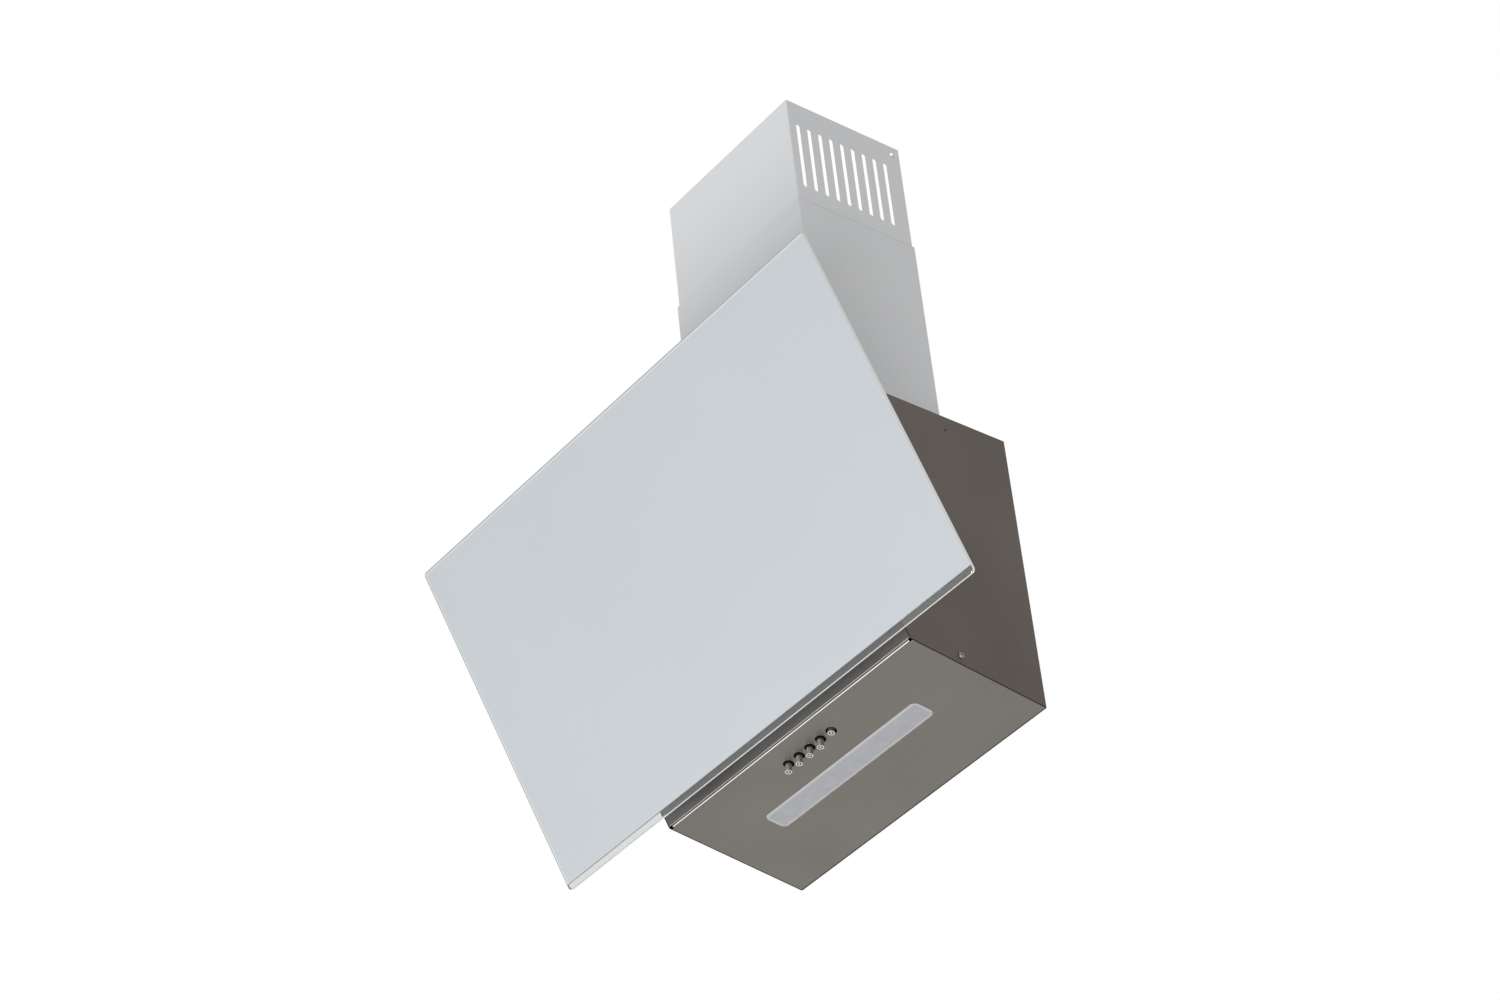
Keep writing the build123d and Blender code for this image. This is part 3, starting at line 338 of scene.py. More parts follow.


# Ferritic stainless sheet, satin brushed: a brown-grey, low-sheen metal. Its lines are finer
# than the render shows, so they are drawn 1 mm apart. The sheet comes in three copies, each
# tinted for the light on its face: painted shade darkens the side copy, and painted light
# lightens the bottom and front copies.
SIDE_STEEL_PAINTED_SHADE = brushed(
    "satin_stainless_side_painted_shade", ("#4C4641", "#645E59"),
    roughness=(0.34, 0.42), along=ALONG_Z, across_mm=1.0, length_mm=70)
BOTTOM_STEEL_PAINTED_LIGHT = brushed(
    "satin_stainless_bottom_painted_light", ("#6C6862", "#807C76"),
    roughness=(0.34, 0.42), along=ALONG_X, across_mm=1.0, length_mm=70)
FRONT_STEEL_PAINTED_LIGHT = brushed(
    "satin_stainless_front_painted_light", ("#868481", "#908E8C"),
    roughness=(0.4, 0.48), along=ALONG_X, across_mm=1.0, length_mm=70)

# Folds and cut edges of the same sheet, and the wall of the lamp's window, in a near-white
# copy: painted highlights that draw thin light lines where these edges catch the light.
EDGE_PAINTED_HIGHLIGHT = brushed(
    "stainless_edge_painted_highlight", ("#F2F0EC", "#FBFAF8"),
    roughness=(0.16, 0.26), along=ALONG_X, across_mm=1.0, length_mm=40)

# Near-black copy of the steel: painted shade for the gap in shadow under the casing's lower
# cut edge and for the shade inside the rivets' eyes, so it draws thin dark lines.
EDGE_PAINTED_SHADE = brushed(
    "stainless_painted_shade", ("#1E1B19", "#2A2624"),
    roughness=(0.6, 0.8), along=ALONG_Z, across_mm=1.0, length_mm=5)

# Powder coat on steel: pale, half matt, with a faint orange-peel skin.
CHIMNEY_PAINT = speckled(
    "pale_powder_coat", ("#DCDDDF", "#E1E2E4"),
    roughness=(0.42, 0.5), grain_mm=1.6, bump_mm=0.02, strength=0.15, IOR=1.5)

# A grey copy of the coat: painted shade along the seam where the lower cover's edge steps onto
# the upper cover, so the edge shows as a thin grey line.
COVER_SEAM_PAINTED_SHADE = speckled(
    "powder_coat_seam_painted_shade", ("#BCBDBF", "#C6C7C9"),
    roughness=(0.42, 0.5), grain_mm=1.6, bump_mm=0.02, strength=0.15, IOR=1.5)

# Tempered float glass painted on its back: a pale, even colour under a hard mirror-smooth
# skin.
GLASS_PAINT = speckled(
    "back_painted_float_glass", ("#B3B8BE", "#B7BCC0"),
    roughness=(0.05, 0.07), grain_mm=160, bump_mm=0.01, strength=0.02, IOR=1.52)

# Ground glass edge: white and dull, because the wheel leaves fine scratches that scatter
# light.
GLASS_EDGE = speckled(
    "ground_glass_edge", ("#E6EBEA", "#F4F7F6"),
    roughness=(0.45, 0.6), grain_mm=1.2, bump_mm=0.02, strength=0.3, IOR=1.52)

# A paler copy of the glass finish: a painted highlight on the front bevel and on a band inside
# the left and upper edges, where the arris catches the light.
GLASS_PAINTED_HIGHLIGHT = speckled(
    "glass_border_painted_highlight", ("#C2C6C7", "#CCD0D0"),
    roughness=(0.05, 0.07), grain_mm=40, bump_mm=0.01, strength=0.02, IOR=1.52)

# A grey, dull copy of the glass finish: painted shade on the outer band along the left and
# upper edges, where the arris lies in its own shade; it draws a thin grey line.
GLASS_PAINTED_SHADE = speckled(
    "glass_border_painted_shade", ("#989C9C", "#A2A6A6"),
    roughness=(0.4, 0.5), grain_mm=1.2, bump_mm=0.01, strength=0.1, IOR=1.52)

# Bare float glass: clear, but greyed by the film of dust on its front, while its back is
# clean.
GLASS_CLEAR = filmed(
    "clear_float_glass", ("#BFC1BF", "#C7C9C7"),
    film_mm=40, IOR=1.52, Transmission_Weight=0.91)
GLASS_BACK = filmed(
    "clean_float_glass", ("#F0F2F1", "#F4F6F5"),
    film_mm=40, IOR=1.52, Transmission_Weight=1.0)

# Opal acrylic: milky, with a soft skin and faint clouds from the moulding.
LAMP_OPAL = speckled(
    "opal_acrylic", ("#8D8E92", "#9D9EA2"),
    roughness=(0.28, 0.4), grain_mm=9, bump_mm=0.02, strength=0.12, IOR=1.49)

# The lens's border is a little thicker than the dished middle and gets a paler copy of the
# opal: a painted highlight where the raised border catches the light.
LAMP_OPAL_PAINTED_HIGHLIGHT = speckled(
    "opal_acrylic_border_painted_highlight", ("#A4A3A6", "#AEADB0"),
    roughness=(0.25, 0.35), grain_mm=9, bump_mm=0.02, strength=0.1, IOR=1.49)

# Satin chrome on plastic: bright, a little milky because the plate is thin, with faint
# polishing marks.
CHROME = speckled(
    "satin_chrome_plate", ("#CAC8C5", "#D8D6D3"),
    roughness=(0.14, 0.24), grain_mm=1.5, bump_mm=0.004, strength=0.1, Metallic=0.7)

# A greyer copy of the chrome round the cap's side: painted shade for the dull sheet that it
# mirrors, so the side looks greyer than the end.
CHROME_PAINTED_SHADE = speckled(
    "chrome_side_painted_shade", ("#A6A4A2", "#B4B2B0"),
    roughness=(0.12, 0.2), grain_mm=1.5, bump_mm=0.004, strength=0.1, Metallic=0.75)

# A near-black copy of the chrome in the cut groove: painted shade in the recess, so the ring
# looks dark.
GROOVE_PAINTED_SHADE = speckled(
    "chrome_groove_painted_shade", ("#262422", "#332F2D"),
    roughness=(0.3, 0.45), grain_mm=1.5, bump_mm=0.01, strength=0.1, Metallic=1.0)

# Nickel-plated screw head: polished, so its middle shines and its steep sides mirror the dark
# sheet.
NICKEL = speckled(
    "polished_nickel", ("#86827D", "#928E89"),
    roughness=(0.14, 0.2), grain_mm=1.0, bump_mm=0.003, strength=0.1, Metallic=1.0)

# Zinc-coated steel: grey crystals with a dull shine.
ZINC = spangled(
    "zinc_coated_steel", ("#A4A7A9", "#B6B9BA"), roughness=(0.32, 0.44), crystal_mm=7)

# Rolled aluminium: pale, with fine roll lines.
ALUMINIUM = brushed(
    "rolled_aluminium", ("#A6A8AA", "#B6B8B9"),
    roughness=(0.26, 0.36), along=ALONG_X, across_mm=0.8, length_mm=40)

# Black moulding darker and duller than the other black plastic: painted shade deep in the
# button holes, so the gaps round the buttons and the stems in them stay black.
HOLE_PAINTED_SHADE = speckled(
    "black_moulding_painted_shade", ("#040404", "#090909"),
    roughness=(0.85, 0.95), grain_mm=0.7, bump_mm=0.03, strength=0.3,
    IOR=1.5, Specular_IOR_Level=0.08)

# Moulded ABS with a spark-eroded skin: matt, with a fine sand-like grain.
BLACK_ABS = speckled(
    "black_moulded_abs", ("#121213", "#1B1B1C"),
    roughness=(0.42, 0.58), grain_mm=0.7, bump_mm=0.03, strength=0.3, IOR=1.53)
GREY_ABS = speckled(
    "grey_moulded_abs", ("#83868A", "#8F9296"),
    roughness=(0.42, 0.58), grain_mm=0.7, bump_mm=0.03, strength=0.3, IOR=1.53)

# White solder mask over a circuit board: smooth, slightly glossy, a little uneven in tone.
BOARD = speckled(
    "white_solder_mask", ("#DEDFD8", "#E9E9E3"),
    roughness=(0.25, 0.4), grain_mm=3, bump_mm=0.01, strength=0.1, IOR=1.55)

# Phosphor in silicone on the light chips: a dull egg-yolk yellow.
PHOSPHOR = speckled(
    "yellow_phosphor", ("#D9B63C", "#E6C957"),
    roughness=(0.4, 0.6), grain_mm=0.8, bump_mm=0.02, strength=0.2, IOR=1.42)

# Moulded rubber: black, dull, with a chalky bloom.
RUBBER = speckled(
    "black_rubber", ("#171717", "#242423"),
    roughness=(0.7, 0.9), grain_mm=2.5, bump_mm=0.03, strength=0.3, IOR=1.52)

# Electrical steel laminations under clear varnish: dark grey with fine stacked lines.
MOTOR_STEEL = brushed(
    "varnished_motor_steel", ("#6F7174", "#8A8C8F"),
    roughness=(0.3, 0.45), along=ALONG_X, across_mm=0.9, length_mm=60)

SLOT_FINISH = {
    "satin_steel": SIDE_STEEL_PAINTED_SHADE,
    "chimney_paint": CHIMNEY_PAINT,
    "glass_front": GLASS_PAINT,
    "zinc_steel": ZINC,
    "filter_aluminium": ALUMINIUM,
    "button_chrome": CHROME,
    "lamp_opal": LAMP_OPAL,
    "black_plastic": BLACK_ABS,
    "grey_plastic": GREY_ABS,
    "board_white": BOARD,
    "led_phosphor": PHOSPHOR,
    "grommet_rubber": RUBBER,
    "motor_steel": MOTOR_STEEL,
}
NODE_FINISH = {
    "bottom_panel": BOTTOM_STEEL_PAINTED_LIGHT,
    "front_panel": FRONT_STEEL_PAINTED_LIGHT,
    # The switch block behind the button holes carries painted shade
    "switch_block": HOLE_PAINTED_SHADE,
}

record = frame["record"]
node_slot = {row["node"]: row["material_slot"] for row in record["subparts"]}
node_body = {
    node: body
    for body, members in record["behaviour"]["bodies"].items()
    for node in members
}


def wear(piece, finish):
    """Give a piece one finish all over."""
    piece.data.materials.clear()
    piece.data.materials.append(finish)


def touch_up(piece, finish, wanted):
    """Give another finish to the faces that a test wants."""
    piece.data.materials.append(finish)
    for face in piece.data.polygons:
        if wanted(face):
            face.material_index = len(piece.data.materials) - 1


for node, solid in nodes.items():
    wear(solid, NODE_FINISH.get(node, SLOT_FINISH[node_slot[node]]))


# Modelling steps

def edit():
    """Open the piece in hand for shaping."""
    bpy.ops.object.mode_set(mode="EDIT")


def done():
    """Close the piece in hand again."""
    bpy.ops.object.mode_set(mode="OBJECT")


def clear_selection():
    """Leave nothing selected and no piece in edit mode."""
    if bpy.context.object and bpy.context.object.mode != "OBJECT":
        done()
    bpy.ops.object.select_all(action="DESELECT")


def take(piece):
    """Make a piece the only one selected, and the one in hand."""
    clear_selection()
    piece.select_set(True)
    bpy.context.view_layer.objects.active = piece


def apply_place():
    """Work the place, turn and scale of the piece in hand into its mesh."""
    bpy.ops.object.transform_apply(location=True, rotation=True, scale=True)


def settle(piece, place):
    """Put a piece in its place and apply that to its mesh."""
    take(piece)
    piece.matrix_world = place
    apply_place()


def slab(name, low, high):
    """Start a piece from a box between two corners."""
    clear_selection()
    bpy.ops.mesh.primitive_cube_add(size=1)
    piece = bpy.context.object
    piece.name = name
    piece.data.name = name
    piece.scale = [b - a for a, b in zip(low, high)]
    piece.location = [(a + b) / 2 for a, b in zip(low, high)]
    apply_place()
    return piece


def peg(sides, radius, low, high):
    """Start a piece from an upright cylinder between two heights."""
    clear_selection()
    bpy.ops.mesh.primitive_cylinder_add(vertices=sides, radius=radius, depth=high - low)
    piece = bpy.context.object
    piece.location = (0, 0, (low + high) / 2)
    apply_place()
    return piece


def copy_of(piece, name):
    """Copy a piece with a mesh of its own."""
    twin = piece.copy()
    twin.data = piece.data.copy()
    twin.name = name
    twin.data.name = name
    bpy.context.scene.collection.objects.link(twin)
    return twin


def pick_all():
    """Select the whole piece that is open for shaping."""
    bpy.ops.mesh.select_all(action="SELECT")


def pick(kind, wanted):
    """Select the faces or edges that a test wants, and nothing else."""
    bpy.ops.mesh.select_mode(type=kind)
    bpy.ops.mesh.select_all(action="DESELECT")
    mesh = bpy.context.object.data
    work = bmesh.from_edit_mesh(mesh)
    for part in {"FACE": work.faces, "EDGE": work.edges}[kind]:
        if wanted(part):
            part.select_set(True)
    work.select_flush_mode()
    bmesh.update_edit_mesh(mesh)


def upright(edge):
    """True for an edge along the piece's own Z."""
    a, b = (vert.co for vert in edge.verts)
    return abs(a.x - b.x) < MERGE and abs(a.y - b.y) < MERGE


def lowest(edge):
    """Height of an edge's lower end."""
    return min(vert.co.z for vert in edge.verts)


def faces_up(face):
    """True for a face that looks along the piece's own Z."""
    return face.normal.z > FACING


def rim(edge):
    """True for an edge between a flat face and a side wall."""
    flats = [abs(face.normal.z) > FACING for face in edge.link_faces]
    return any(flats) and not all(flats)


def inset(width, depth=0.0):
    """Draw a border of this width inside the picked faces, and sink what is inside it."""
    bpy.ops.mesh.inset(thickness=width, depth=-depth)


def extrude(height):
    """Extrude the picked faces along the piece's own Z."""
    bpy.ops.mesh.extrude_region_move(TRANSFORM_OT_translate={"value": (0, 0, height)})


def round_off(wanted, radius, segments):
    """Round the edges that a test wants."""
    pick("EDGE", wanted)
    bpy.ops.mesh.bevel(offset=radius, segments=segments, affect="EDGES")


def score(point, direction):
    """Cut new edges into the open piece all round, where a plane crosses it."""
    pick_all()
    bpy.ops.mesh.bisect(plane_co=point, plane_no=direction)


def close_up():
    """Merge doubles, point the faces outwards and close the piece."""
    pick_all()
    bpy.ops.mesh.remove_doubles(threshold=MERGE)
    bpy.ops.mesh.normals_make_consistent(inside=False)
    done()


def smooth(angle):
    """Smooth the piece in hand, but not over edges sharper than this many degrees."""
    bpy.ops.object.shade_smooth_by_angle(angle=radians(angle))


def modify(piece, kind, **settings):
    """Add a modifier to a piece with its settings, and apply it."""
    take(piece)
    modifier = piece.modifiers.new(kind.lower(), kind)
    for key, value in settings.items():
        setattr(modifier, key, value)
    bpy.ops.object.modifier_apply(modifier=modifier.name)


def soften(piece, width, angle=SHEET_SMOOTH):
    """Break the sharp edges of a piece and smooth what is left."""
    modify(
        piece, "BEVEL", limit_method="ANGLE", angle_limit=radians(angle), width=width,
        segments=EDGE_SEGMENTS, use_clamp_overlap=False)
    smooth(angle)
    modify(piece, "WEIGHTED_NORMAL", keep_sharp=True)


def belongs(piece, node):
    """Let a piece stand for a node, on the same body, and hide the node."""
    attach(piece, node_body[node])
    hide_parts(node)


# Sheets and mouldings: the solids' own shapes, with the sharp edges broken to catch light

SHEET_PIECES = {
    "casing_wrap": "casing_sheet",
    "bottom_panel": "bottom_tray",
    "front_panel": "front_sheet",
    "chimney_lower": "lower_cover",
    "chimney_upper": "upper_cover",
    "filter_frame": "filter_rim",
    "top_plate": "top_sheet",
    "filter_latch": "latch_grip",
    "glass_carrier": "carrier_sheet",
    "strike_plates": "strike_sheets",
    "magnet_catches": "catch_blocks",
    "hinge_bracket_left": "left_hinge_bracket",
    "hinge_bracket_right": "right_hinge_bracket",
    "hinge_arm_left": "left_hinge_arm",
    "hinge_arm_right": "right_hinge_arm",
    "chimney_foot_left": "left_foot",
    "chimney_foot_right": "right_foot",
    "duct_collar": "collar_moulding",
    "flap_front": "front_flap_moulding",
    "flap_rear": "rear_flap_moulding",
    "cable_grommet": "grommet_ring",
}


def sheet_piece(node, name):
    """Copy of a sheet or moulding with broken edges."""
    piece = copy_of(nodes[node], name)
    del piece["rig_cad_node"]
    piece.parent = None
    take(piece)
    edit()
    pick_all()
    bpy.ops.mesh.remove_doubles(threshold=MERGE)
    bpy.ops.mesh.dissolve_limited(angle_limit=ONE_FLAT)
    done()
    soften(piece, SHEET_EDGE)
    belongs(piece, node)
    return piece


sheets = {node: sheet_piece(node, name) for node, name in SHEET_PIECES.items()}

to_underside = UNDERSIDE.inverted()
outwards = UNDERSIDE.col[2].xyz


def on_lower_fold(face):
    """The rounded fold along the front of the bottom."""
    forward = face.center.y < -FOLD_FROM and abs(face.center.x) < FOLD_REACH
    return forward and FOLD_DOWN < -face.normal.z < FACING


def on_window_wall(face):
    """The wall of the lamp's window."""
    place = to_underside @ face.center
    across = abs(place.x) < LAMP_W / 2 + MM
    along = abs(place.y - LAMP_U) < LAMP_H / 2 + MM
    return across and along and abs(outwards.dot(face.normal)) < WALL_MOST


def on_front_cut(face):
    """The cut edge along the bottom of the front panel."""
    return face.normal.z < -HALFWAY and face.center.z < FRONT.translation.z + FRONT_CUT


def on_casing_cut(face):
    """The cut edge along the bottom of the casing."""
    return face.normal.z < -FACING and (to_underside @ face.center).z > -CUT_ZONE


def shade_cover_seam(cover):
    """Draw the painted shade line along the upper edges of the lower cover's sides."""
    line = max(vert.co.z for vert in cover.data.vertices) - SHADE_LINE
    take(cover)
    edit()
    score((0, 0, line), (0, 0, 1))
    done()
    touch_up(
        cover, COVER_SEAM_PAINTED_SHADE,
        lambda face: face.center.z > line and abs(face.normal.x) > HALFWAY)


shade_cover_seam(sheets["chimney_lower"])
# Painted highlights on the bottom's front fold and its lamp window's wall, and on the front
# panel's lower cut edge
touch_up(
    sheets["bottom_panel"], EDGE_PAINTED_HIGHLIGHT,
    lambda face: on_lower_fold(face) or on_window_wall(face))
touch_up(sheets["front_panel"], EDGE_PAINTED_HIGHLIGHT, on_front_cut)
# Painted shade along the casing's lower cut edge, where the gap to the bottom lies in shadow
touch_up(sheets["casing_wrap"], EDGE_PAINTED_SHADE, on_casing_cut)


# Glass front: rounded corners, ground edges, and a bare strip below the paint

PAINT_LOW = GLASS_LOW + CLEAR_STRIP


def from_border(face):
    """How far a face of the pane is from its left or upper edge, whichever is nearer."""
    return min(face.center.x + GLASS_W / 2, GLASS_LOW + GLASS_H - face.center.y)


def is_ground(face):
    """True for the edges of the pane and their bevels."""
    return abs(face.normal.z) < PANE_FLAT


def in_front(face):
    """True for what looks forwards."""
    return face.normal.z > PANE_FRONT


def is_bare(face):
    """True for both sides of the strip below the paint, and for its bevel in front."""
    clear = not is_ground(face) or face.normal.z > PANE_BEVEL
    return face.center.y < PAINT_LOW and clear


def in_glass_highlight(face):
    """True for the bevel in front, and for the band of painted highlight inside the left and
    upper edges.
    """
    return in_front(face) and (is_ground(face) or from_border(face) < SHADE_BAND + HIGHLIGHT_BAND)


def in_glass_shade(face):
    """True for the outer part of that border, where shade is painted."""
    painted = in_front(face) and face.center.y > PAINT_LOW
    return painted and from_border(face) < SHADE_BAND


def glass_front():
    """Model the pane in the plane of the front, finish its faces and put it in place."""
    low = (-GLASS_W / 2, GLASS_LOW, GLASS_GAP)
    high = (GLASS_W / 2, GLASS_LOW + GLASS_H, GLASS_GAP + GLASS_T)
    pane = slab("glass_front", low, high)
    edit()
    round_off(upright, GLASS_R, CORNER_SEGMENTS)
    score((0, PAINT_LOW, 0), (0, 1, 0))
    pick("FACE", faces_up)
    inset(SHADE_BAND)
    inset(HIGHLIGHT_BAND)
    round_off(rim, GLASS_ARRIS, EDGE_SEGMENTS)
    close_up()
    wear(pane, GLASS_PAINT)
    touch_up(pane, GLASS_PAINTED_HIGHLIGHT, in_glass_highlight)
    touch_up(pane, GLASS_EDGE, lambda face: is_ground(face) and not in_front(face))
    touch_up(pane, GLASS_PAINTED_SHADE, in_glass_shade)
    touch_up(pane, GLASS_BACK, is_bare)
    touch_up(pane, GLASS_CLEAR, lambda face: is_bare(face) and in_front(face))
    settle(pane, FRONT)
    smooth(GLASS_SMOOTH)
    return pane


belongs(glass_front(), "glass_pane")


# Lamp lens: a lip behind the sheet and a rounded window set a little back in it

def in_dish(face):
    """True for the dished middle of the lens."""
    across = abs(face.center.x) < LAMP_W / 2 - LAMP_RIM
    along = abs(face.center.y + LAMP_SHIFT - LAMP_U) < LAMP_H / 2 - LAMP_RIM
    return across and along and face.normal.z > 0


def lamp_lens():
    """Model the lens in the plane of the underside and put it in its window."""
    low = (-LAMP_W / 2 - LAMP_LIP, LAMP_U - LAMP_H / 2 - LAMP_LIP, LAMP_LOW)
    high = (LAMP_W / 2 + LAMP_LIP, LAMP_U + LAMP_H / 2 + LAMP_LIP, LAMP_SEAT)
    above_lip = LAMP_SEAT - MERGE
    at_face = LAMP_FACE - MERGE
    lens = slab("lamp_lens", low, high)
    edit()
    pick("FACE", faces_up)
    inset(LAMP_LIP)
    extrude(LAMP_FACE - LAMP_SEAT)
    round_off(
        lambda edge: upright(edge) and lowest(edge) > above_lip, LAMP_R, CORNER_SEGMENTS)
    round_off(lambda edge: rim(edge) and lowest(edge) > at_face, LAMP_EDGE, LENS_SEGMENTS)
    pick("FACE", lambda face: faces_up(face) and face.calc_center_median().z > at_face)
    inset(LAMP_RIM)
    bpy.ops.transform.translate(value=(0, -LAMP_SHIFT, 0))
    inset(LAMP_DISH, depth=LAMP_DISH)
    close_up()
    # Painted highlight on the border, lip and walls; the dish keeps the plain opal
    wear(lens, LAMP_OPAL_PAINTED_HIGHLIGHT)
    touch_up(lens, LAMP_OPAL, in_dish)
    settle(lens, UNDERSIDE)
    smooth(SHEET_SMOOTH)
    return lens


belongs(lamp_lens(), "lamp_diffuser")


# Push-buttons: a chromed cap with a ring cut into its end, on a stem painted black for the
# shade in its hole

def in_ring(face):
    """True for the floor and the lower walls of the ring."""
    deep = -RING_DEEP - MERGE < face.center.z < -RING_DEEP / 3
    return deep and face.center.xy.length < RING_OUT


def push_button():
    """Model one button, pointing up with the end of its cap at the origin."""
    button = peg(BUTTON_SIDES, BUTTON_R, -BUTTON_STEM, 0)
    edit()
    pick("FACE", faces_up)
    inset(BUTTON_R - RING_OUT)
    extrude(-RING_DEEP)
    inset(RING_OUT - RING_IN)
    extrude(RING_DEEP)
    close_up()
    soften(button, BUTTON_EDGE / 2, BUTTON_SMOOTH)
    edit()
    score((0, 0, -CAP_LENGTH), (0, 0, 1))
    done()
    wear(button, CHROME)
    # Painted shade round the cap's side
    touch_up(button, CHROME_PAINTED_SHADE, lambda face: face.center.z < -BUTTON_EDGE)
    # Painted shade on the stem below the cap, where it sits in its hole
    touch_up(button, HOLE_PAINTED_SHADE, lambda face: face.center.z < -CAP_LENGTH)
    # Painted shade in the ring's groove
    touch_up(button, GROOVE_PAINTED_SHADE, in_ring)
    return button


first_button = push_button()
last = BUTTON_COUNT - 1
for index in range(BUTTON_COUNT):
    button = copy_of(first_button, f"button_{index + 1}_chrome")
    across = (index - last / 2) * BUTTON_PITCH
    # The last one is pressed in the photograph
    out = BUTTON_OUT - BUTTON_TRAVEL if index == last else BUTTON_OUT
    settle(button, UNDERSIDE @ Matrix.Translation((across, BUTTON_U, out)))
    belongs(button, f"push_button_{index + 1}")
bpy.data.objects.remove(first_button)


# Side screws and blind rivets

def screw_head():
    """Model a domed head with a cross recess, pointing up."""
    head = peg(SCREW_SIDES, SCREW_R, 0, SCREW_HEAD)
    edit()
    round_off(
        lambda edge: rim(edge) and lowest(edge) > SCREW_HEAD / 2, SCREW_DOME, DOME_SEGMENTS)
    close_up()
    for length, width in ((RECESS_L, RECESS_W), (RECESS_W, RECESS_L)):
        cutter = slab(
            "recess", (-length / 2, -width / 2, SCREW_HEAD / 2),
            (length / 2, width / 2, SCREW_HEAD * 2))
        modify(head, "BOOLEAN", operation="DIFFERENCE", object=cutter)
        bpy.data.objects.remove(cutter)
    smooth(HEAD_SMOOTH)
    wear(head, NICKEL)
    return head


def in_eye(face):
    """True for the eye where the rivet's pin broke off."""
    return face.center.xy.length < RIVET_EYE and face.center.z > -RIVET_L / 2


def blind_rivet():
    """Model a rivet with a flat head and a dark eye, pointing up."""
    rivet = peg(RIVET_SIDES, RIVET_R, RIVET_PROUD - RIVET_L, RIVET_PROUD)
    edit()
    pick("FACE", faces_up)
    inset(RIVET_R - RIVET_EYE)
    extrude(-RIVET_DISH)
    round_off(rim, RIVET_PROUD / 2, EDGE_SEGMENTS)
    close_up()
    smooth(HEAD_SMOOTH)
    wear(rivet, SIDE_STEEL_PAINTED_SHADE)
    # Painted shade inside the rivet's eye
    touch_up(rivet, EDGE_PAINTED_SHADE, in_eye)
    return rivet


def on_both_sides(first, name, y, z, node, spin=0):
    """Set a copy of a fastener into each side of the casing, and remove the first."""
    for index, side in enumerate((-1, 1)):
        twin = copy_of(first, f"{name}_{index + 1}")
        turn = Matrix.Rotation(side * QUARTER_TURN, 4, "Y") @ Matrix.Rotation(spin, 4, "Z")
        settle(twin, Matrix.Translation((side * SIDE_X, y, z)) @ turn)
        belongs(twin, node)
    bpy.data.objects.remove(first)


on_both_sides(screw_head(), "side_screw", SCREW_Y, SCREW_Z, "casing_screws", SCREW_SPIN)
on_both_sides(blind_rivet(), "side_rivet", RIVET_Y, RIVET_Z, "casing_rivets")


# Filter: rows of diamonds of expanded metal over a packed core

def filter_strands():
    """Model one diamond of the mesh, repeat it and give it its thickness."""
    clear_selection()
    bpy.ops.mesh.primitive_circle_add(
        vertices=DIAMOND_SIDES, radius=CELL_W / 2, fill_type="NGON")
    strands = bpy.context.object
    strands.name = "filter_strands"
    strands.scale = (1, CELL_H / CELL_W, 1)
    apply_place()
    edit()
    pick_all()
    inset(STRAND / 2)
    bpy.ops.mesh.delete(type="FACE")
    done()
    columns = round(MESH_W / CELL_W)
    rows = round((MESH_TOP - MESH_LOW) / CELL_H)
    for count, step in ((columns, (CELL_W, 0, 0)), (rows, (0, CELL_H, 0))):
        modify(
            strands, "ARRAY", use_relative_offset=False, use_constant_offset=True,
            constant_offset_displace=step, count=count)
    modify(strands, "SOLIDIFY", thickness=STRAND_T)
    wear(strands, ALUMINIUM)
    start = (CELL_W / 2 - MESH_W / 2, MESH_LOW + CELL_H / 2, MESH_N)
    settle(strands, FRONT @ Matrix.Translation(start))
    return strands


def filter_core():
    """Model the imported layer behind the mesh."""
    low = (-MESH_W / 2, MESH_LOW, CORE_N)
    core = slab("filter_core", low, (MESH_W / 2, MESH_TOP, CORE_N + CORE_T))
    soften(core, SHEET_EDGE)
    wear(core, ALUMINIUM)
    settle(core, FRONT)
    return core


belongs(filter_strands(), "filter_mesh")
belongs(filter_core(), "filter_mesh")


# Stage: pale floor far below the hood, soft light, and the camera below it to the right

FLOOR_Z = -4.6
FLOOR_SIZE = 400
FLOOR_WHITE = 0.9
AMBIENT = 0.5

CAMERA_PLACE = (2.31703, -2.19703, -2.13151)
CAMERA_TURN = (126.5173, 5.1629, 52.6021)
CAMERA_LENS = 96.98
CAMERA_SENSOR = 36
CAMERA_REACH = 1000

# Rolled floor paint: off-white and matt, with a faint roller grain.
FLOOR_PAINT = speckled(
    "pale_studio_floor", ("#F1F1EF", "#F5F5F3"),
    roughness=(0.7, 0.8), grain_mm=30, bump_mm=0.1, strength=0.1)

clear_selection()
bpy.ops.mesh.primitive_plane_add(size=FLOOR_SIZE, location=(0, 0, FLOOR_Z))
floor = bpy.context.object
floor.name = "studio_floor"
wear(floor, FLOOR_PAINT)

# Metal and glass see the floor as white as the background, and the camera sees it nearly so.
# All other light meets it as paint.
floor_tree = FLOOR_PAINT.node_tree
floor_rays = add(floor_tree, "ShaderNodeLightPath").outputs
floor_mirrored = add(
    floor_tree, "ShaderNodeMath", operation="MAXIMUM",
    links={0: floor_rays["Is Glossy Ray"], 1: floor_rays["Is Transmission Ray"]})
floor_direct = add(
    floor_tree, "ShaderNodeMath", {1: FLOOR_WHITE}, {0: floor_rays["Is Camera Ray"]},
    operation="MULTIPLY")
floor_whiteness = add(
    floor_tree, "ShaderNodeMath", operation="MAXIMUM",
    links={0: floor_mirrored.outputs[0], 1: floor_direct.outputs[0]})
floor_glow = add(floor_tree, "ShaderNodeEmission")
floor_surface = add(floor_tree, "ShaderNodeMixShader", links={
    0: floor_whiteness.outputs[0],
    1: floor_tree.nodes["Principled BSDF"].outputs["BSDF"],
    2: floor_glow.outputs["Emission"],
})
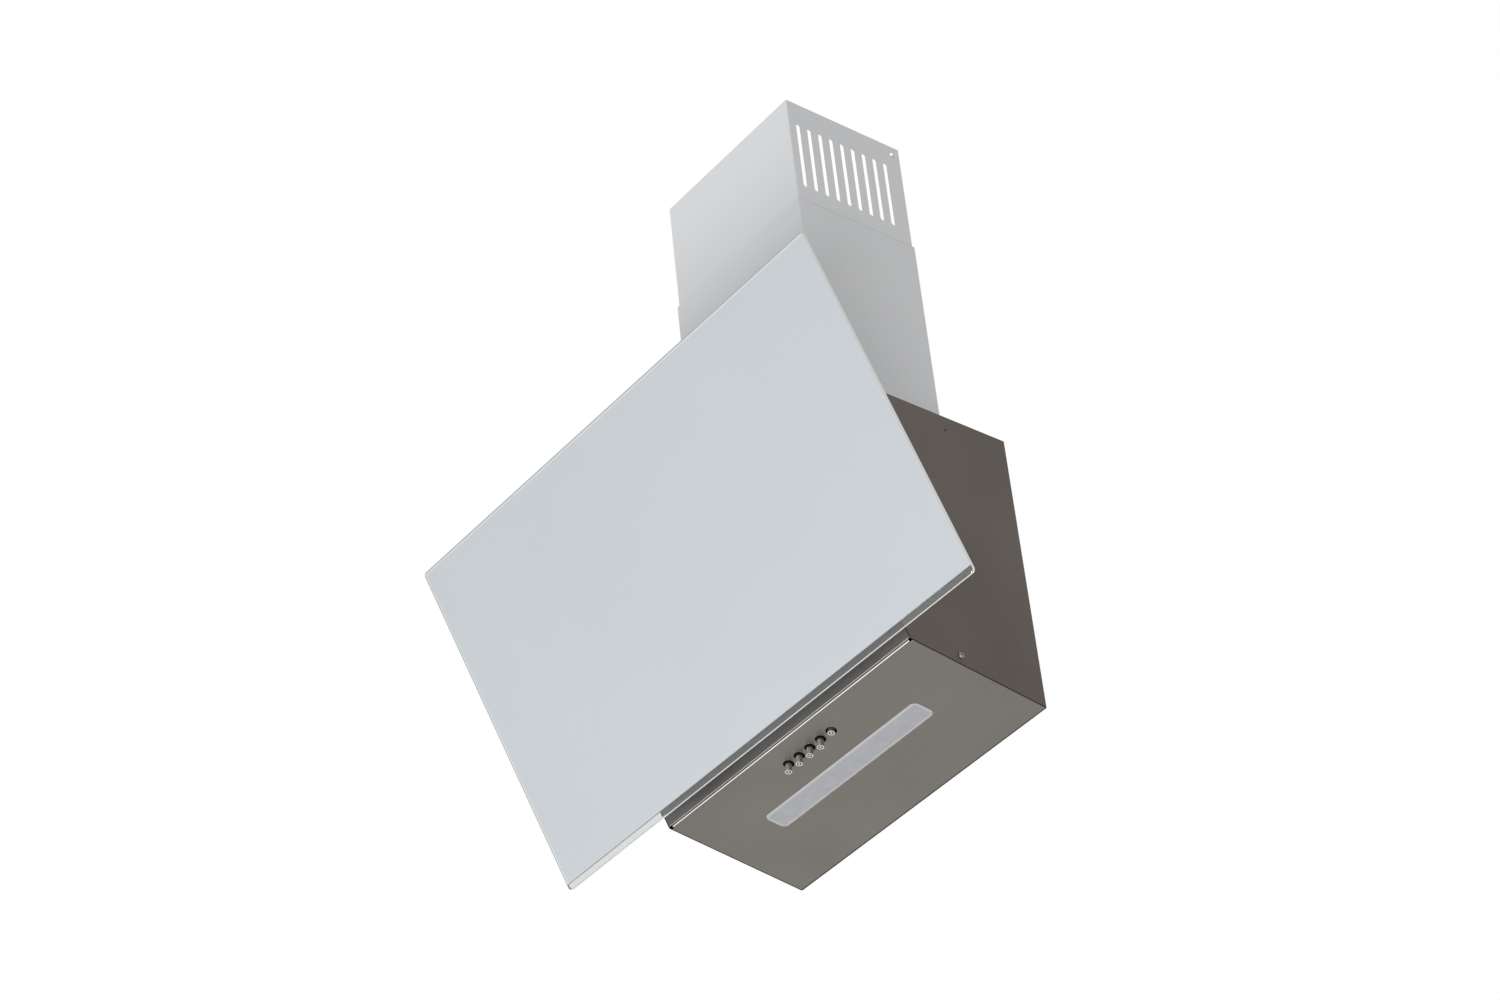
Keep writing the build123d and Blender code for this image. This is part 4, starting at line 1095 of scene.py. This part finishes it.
floor_tree.links.new(
    floor_surface.outputs["Shader"], floor_tree.nodes["Material Output"].inputs["Surface"])
FLOOR_PAINT.cycles.emission_sampling = "NONE"

# The camera, metal and glass see a white background, which lights the hood at a lower level
world = bpy.data.worlds.new("studio")
bpy.context.scene.world = world
world.use_nodes = True
sky = world.node_tree
backdrop = sky.nodes["Background"]
sky_rays = add(sky, "ShaderNodeLightPath").outputs
sky_direct = add(
    sky, "ShaderNodeMath", operation="MAXIMUM",
    links={0: sky_rays["Is Camera Ray"], 1: sky_rays["Is Glossy Ray"]})
sky_seen = add(
    sky, "ShaderNodeMath", operation="MAXIMUM",
    links={0: sky_direct.outputs[0], 1: sky_rays["Is Transmission Ray"]})
sky_level = add(
    sky, "ShaderNodeMapRange", {"To Min": AMBIENT, "To Max": 1.0},
    {"Value": sky_seen.outputs[0]})
backdrop.inputs["Color"].default_value = (1, 1, 1, 1)
sky.links.new(sky_level.outputs["Result"], backdrop.inputs["Strength"])


def soft_light(name, place, target, size, power):
    """Square soft light that looks at a point."""
    lamp = bpy.data.lights.new(name, "AREA")
    lamp.size = size
    lamp.energy = power
    light = bpy.data.objects.new(name, lamp)
    bpy.context.scene.collection.objects.link(light)
    light.location = place
    light.visible_camera = False
    light.visible_transmission = False
    direction = Vector(target) - Vector(place)
    light.rotation_euler = direction.to_track_quat("-Z", "Y").to_euler()


soft_light(
    "key_light", place=(-0.76, -2.715, -3.463), target=(0, -0.15, 0.47), size=1.14, power=123)
soft_light(
    "fill_light", place=(1.95, -2.26, -1.98), target=(0.1, -0.1, 0.25), size=0.5, power=32)

camera = bpy.data.cameras.new("photo_camera")
camera.sensor_fit = "HORIZONTAL"
camera.sensor_width = CAMERA_SENSOR
camera.lens = CAMERA_LENS
camera.clip_end = CAMERA_REACH
viewer = bpy.data.objects.new("photo_camera", camera)
bpy.context.scene.collection.objects.link(viewer)
viewer.location = CAMERA_PLACE
viewer.rotation_euler = [radians(angle) for angle in CAMERA_TURN]
bpy.context.scene.camera = viewer
bpy.context.scene.view_settings.view_transform = "Standard"
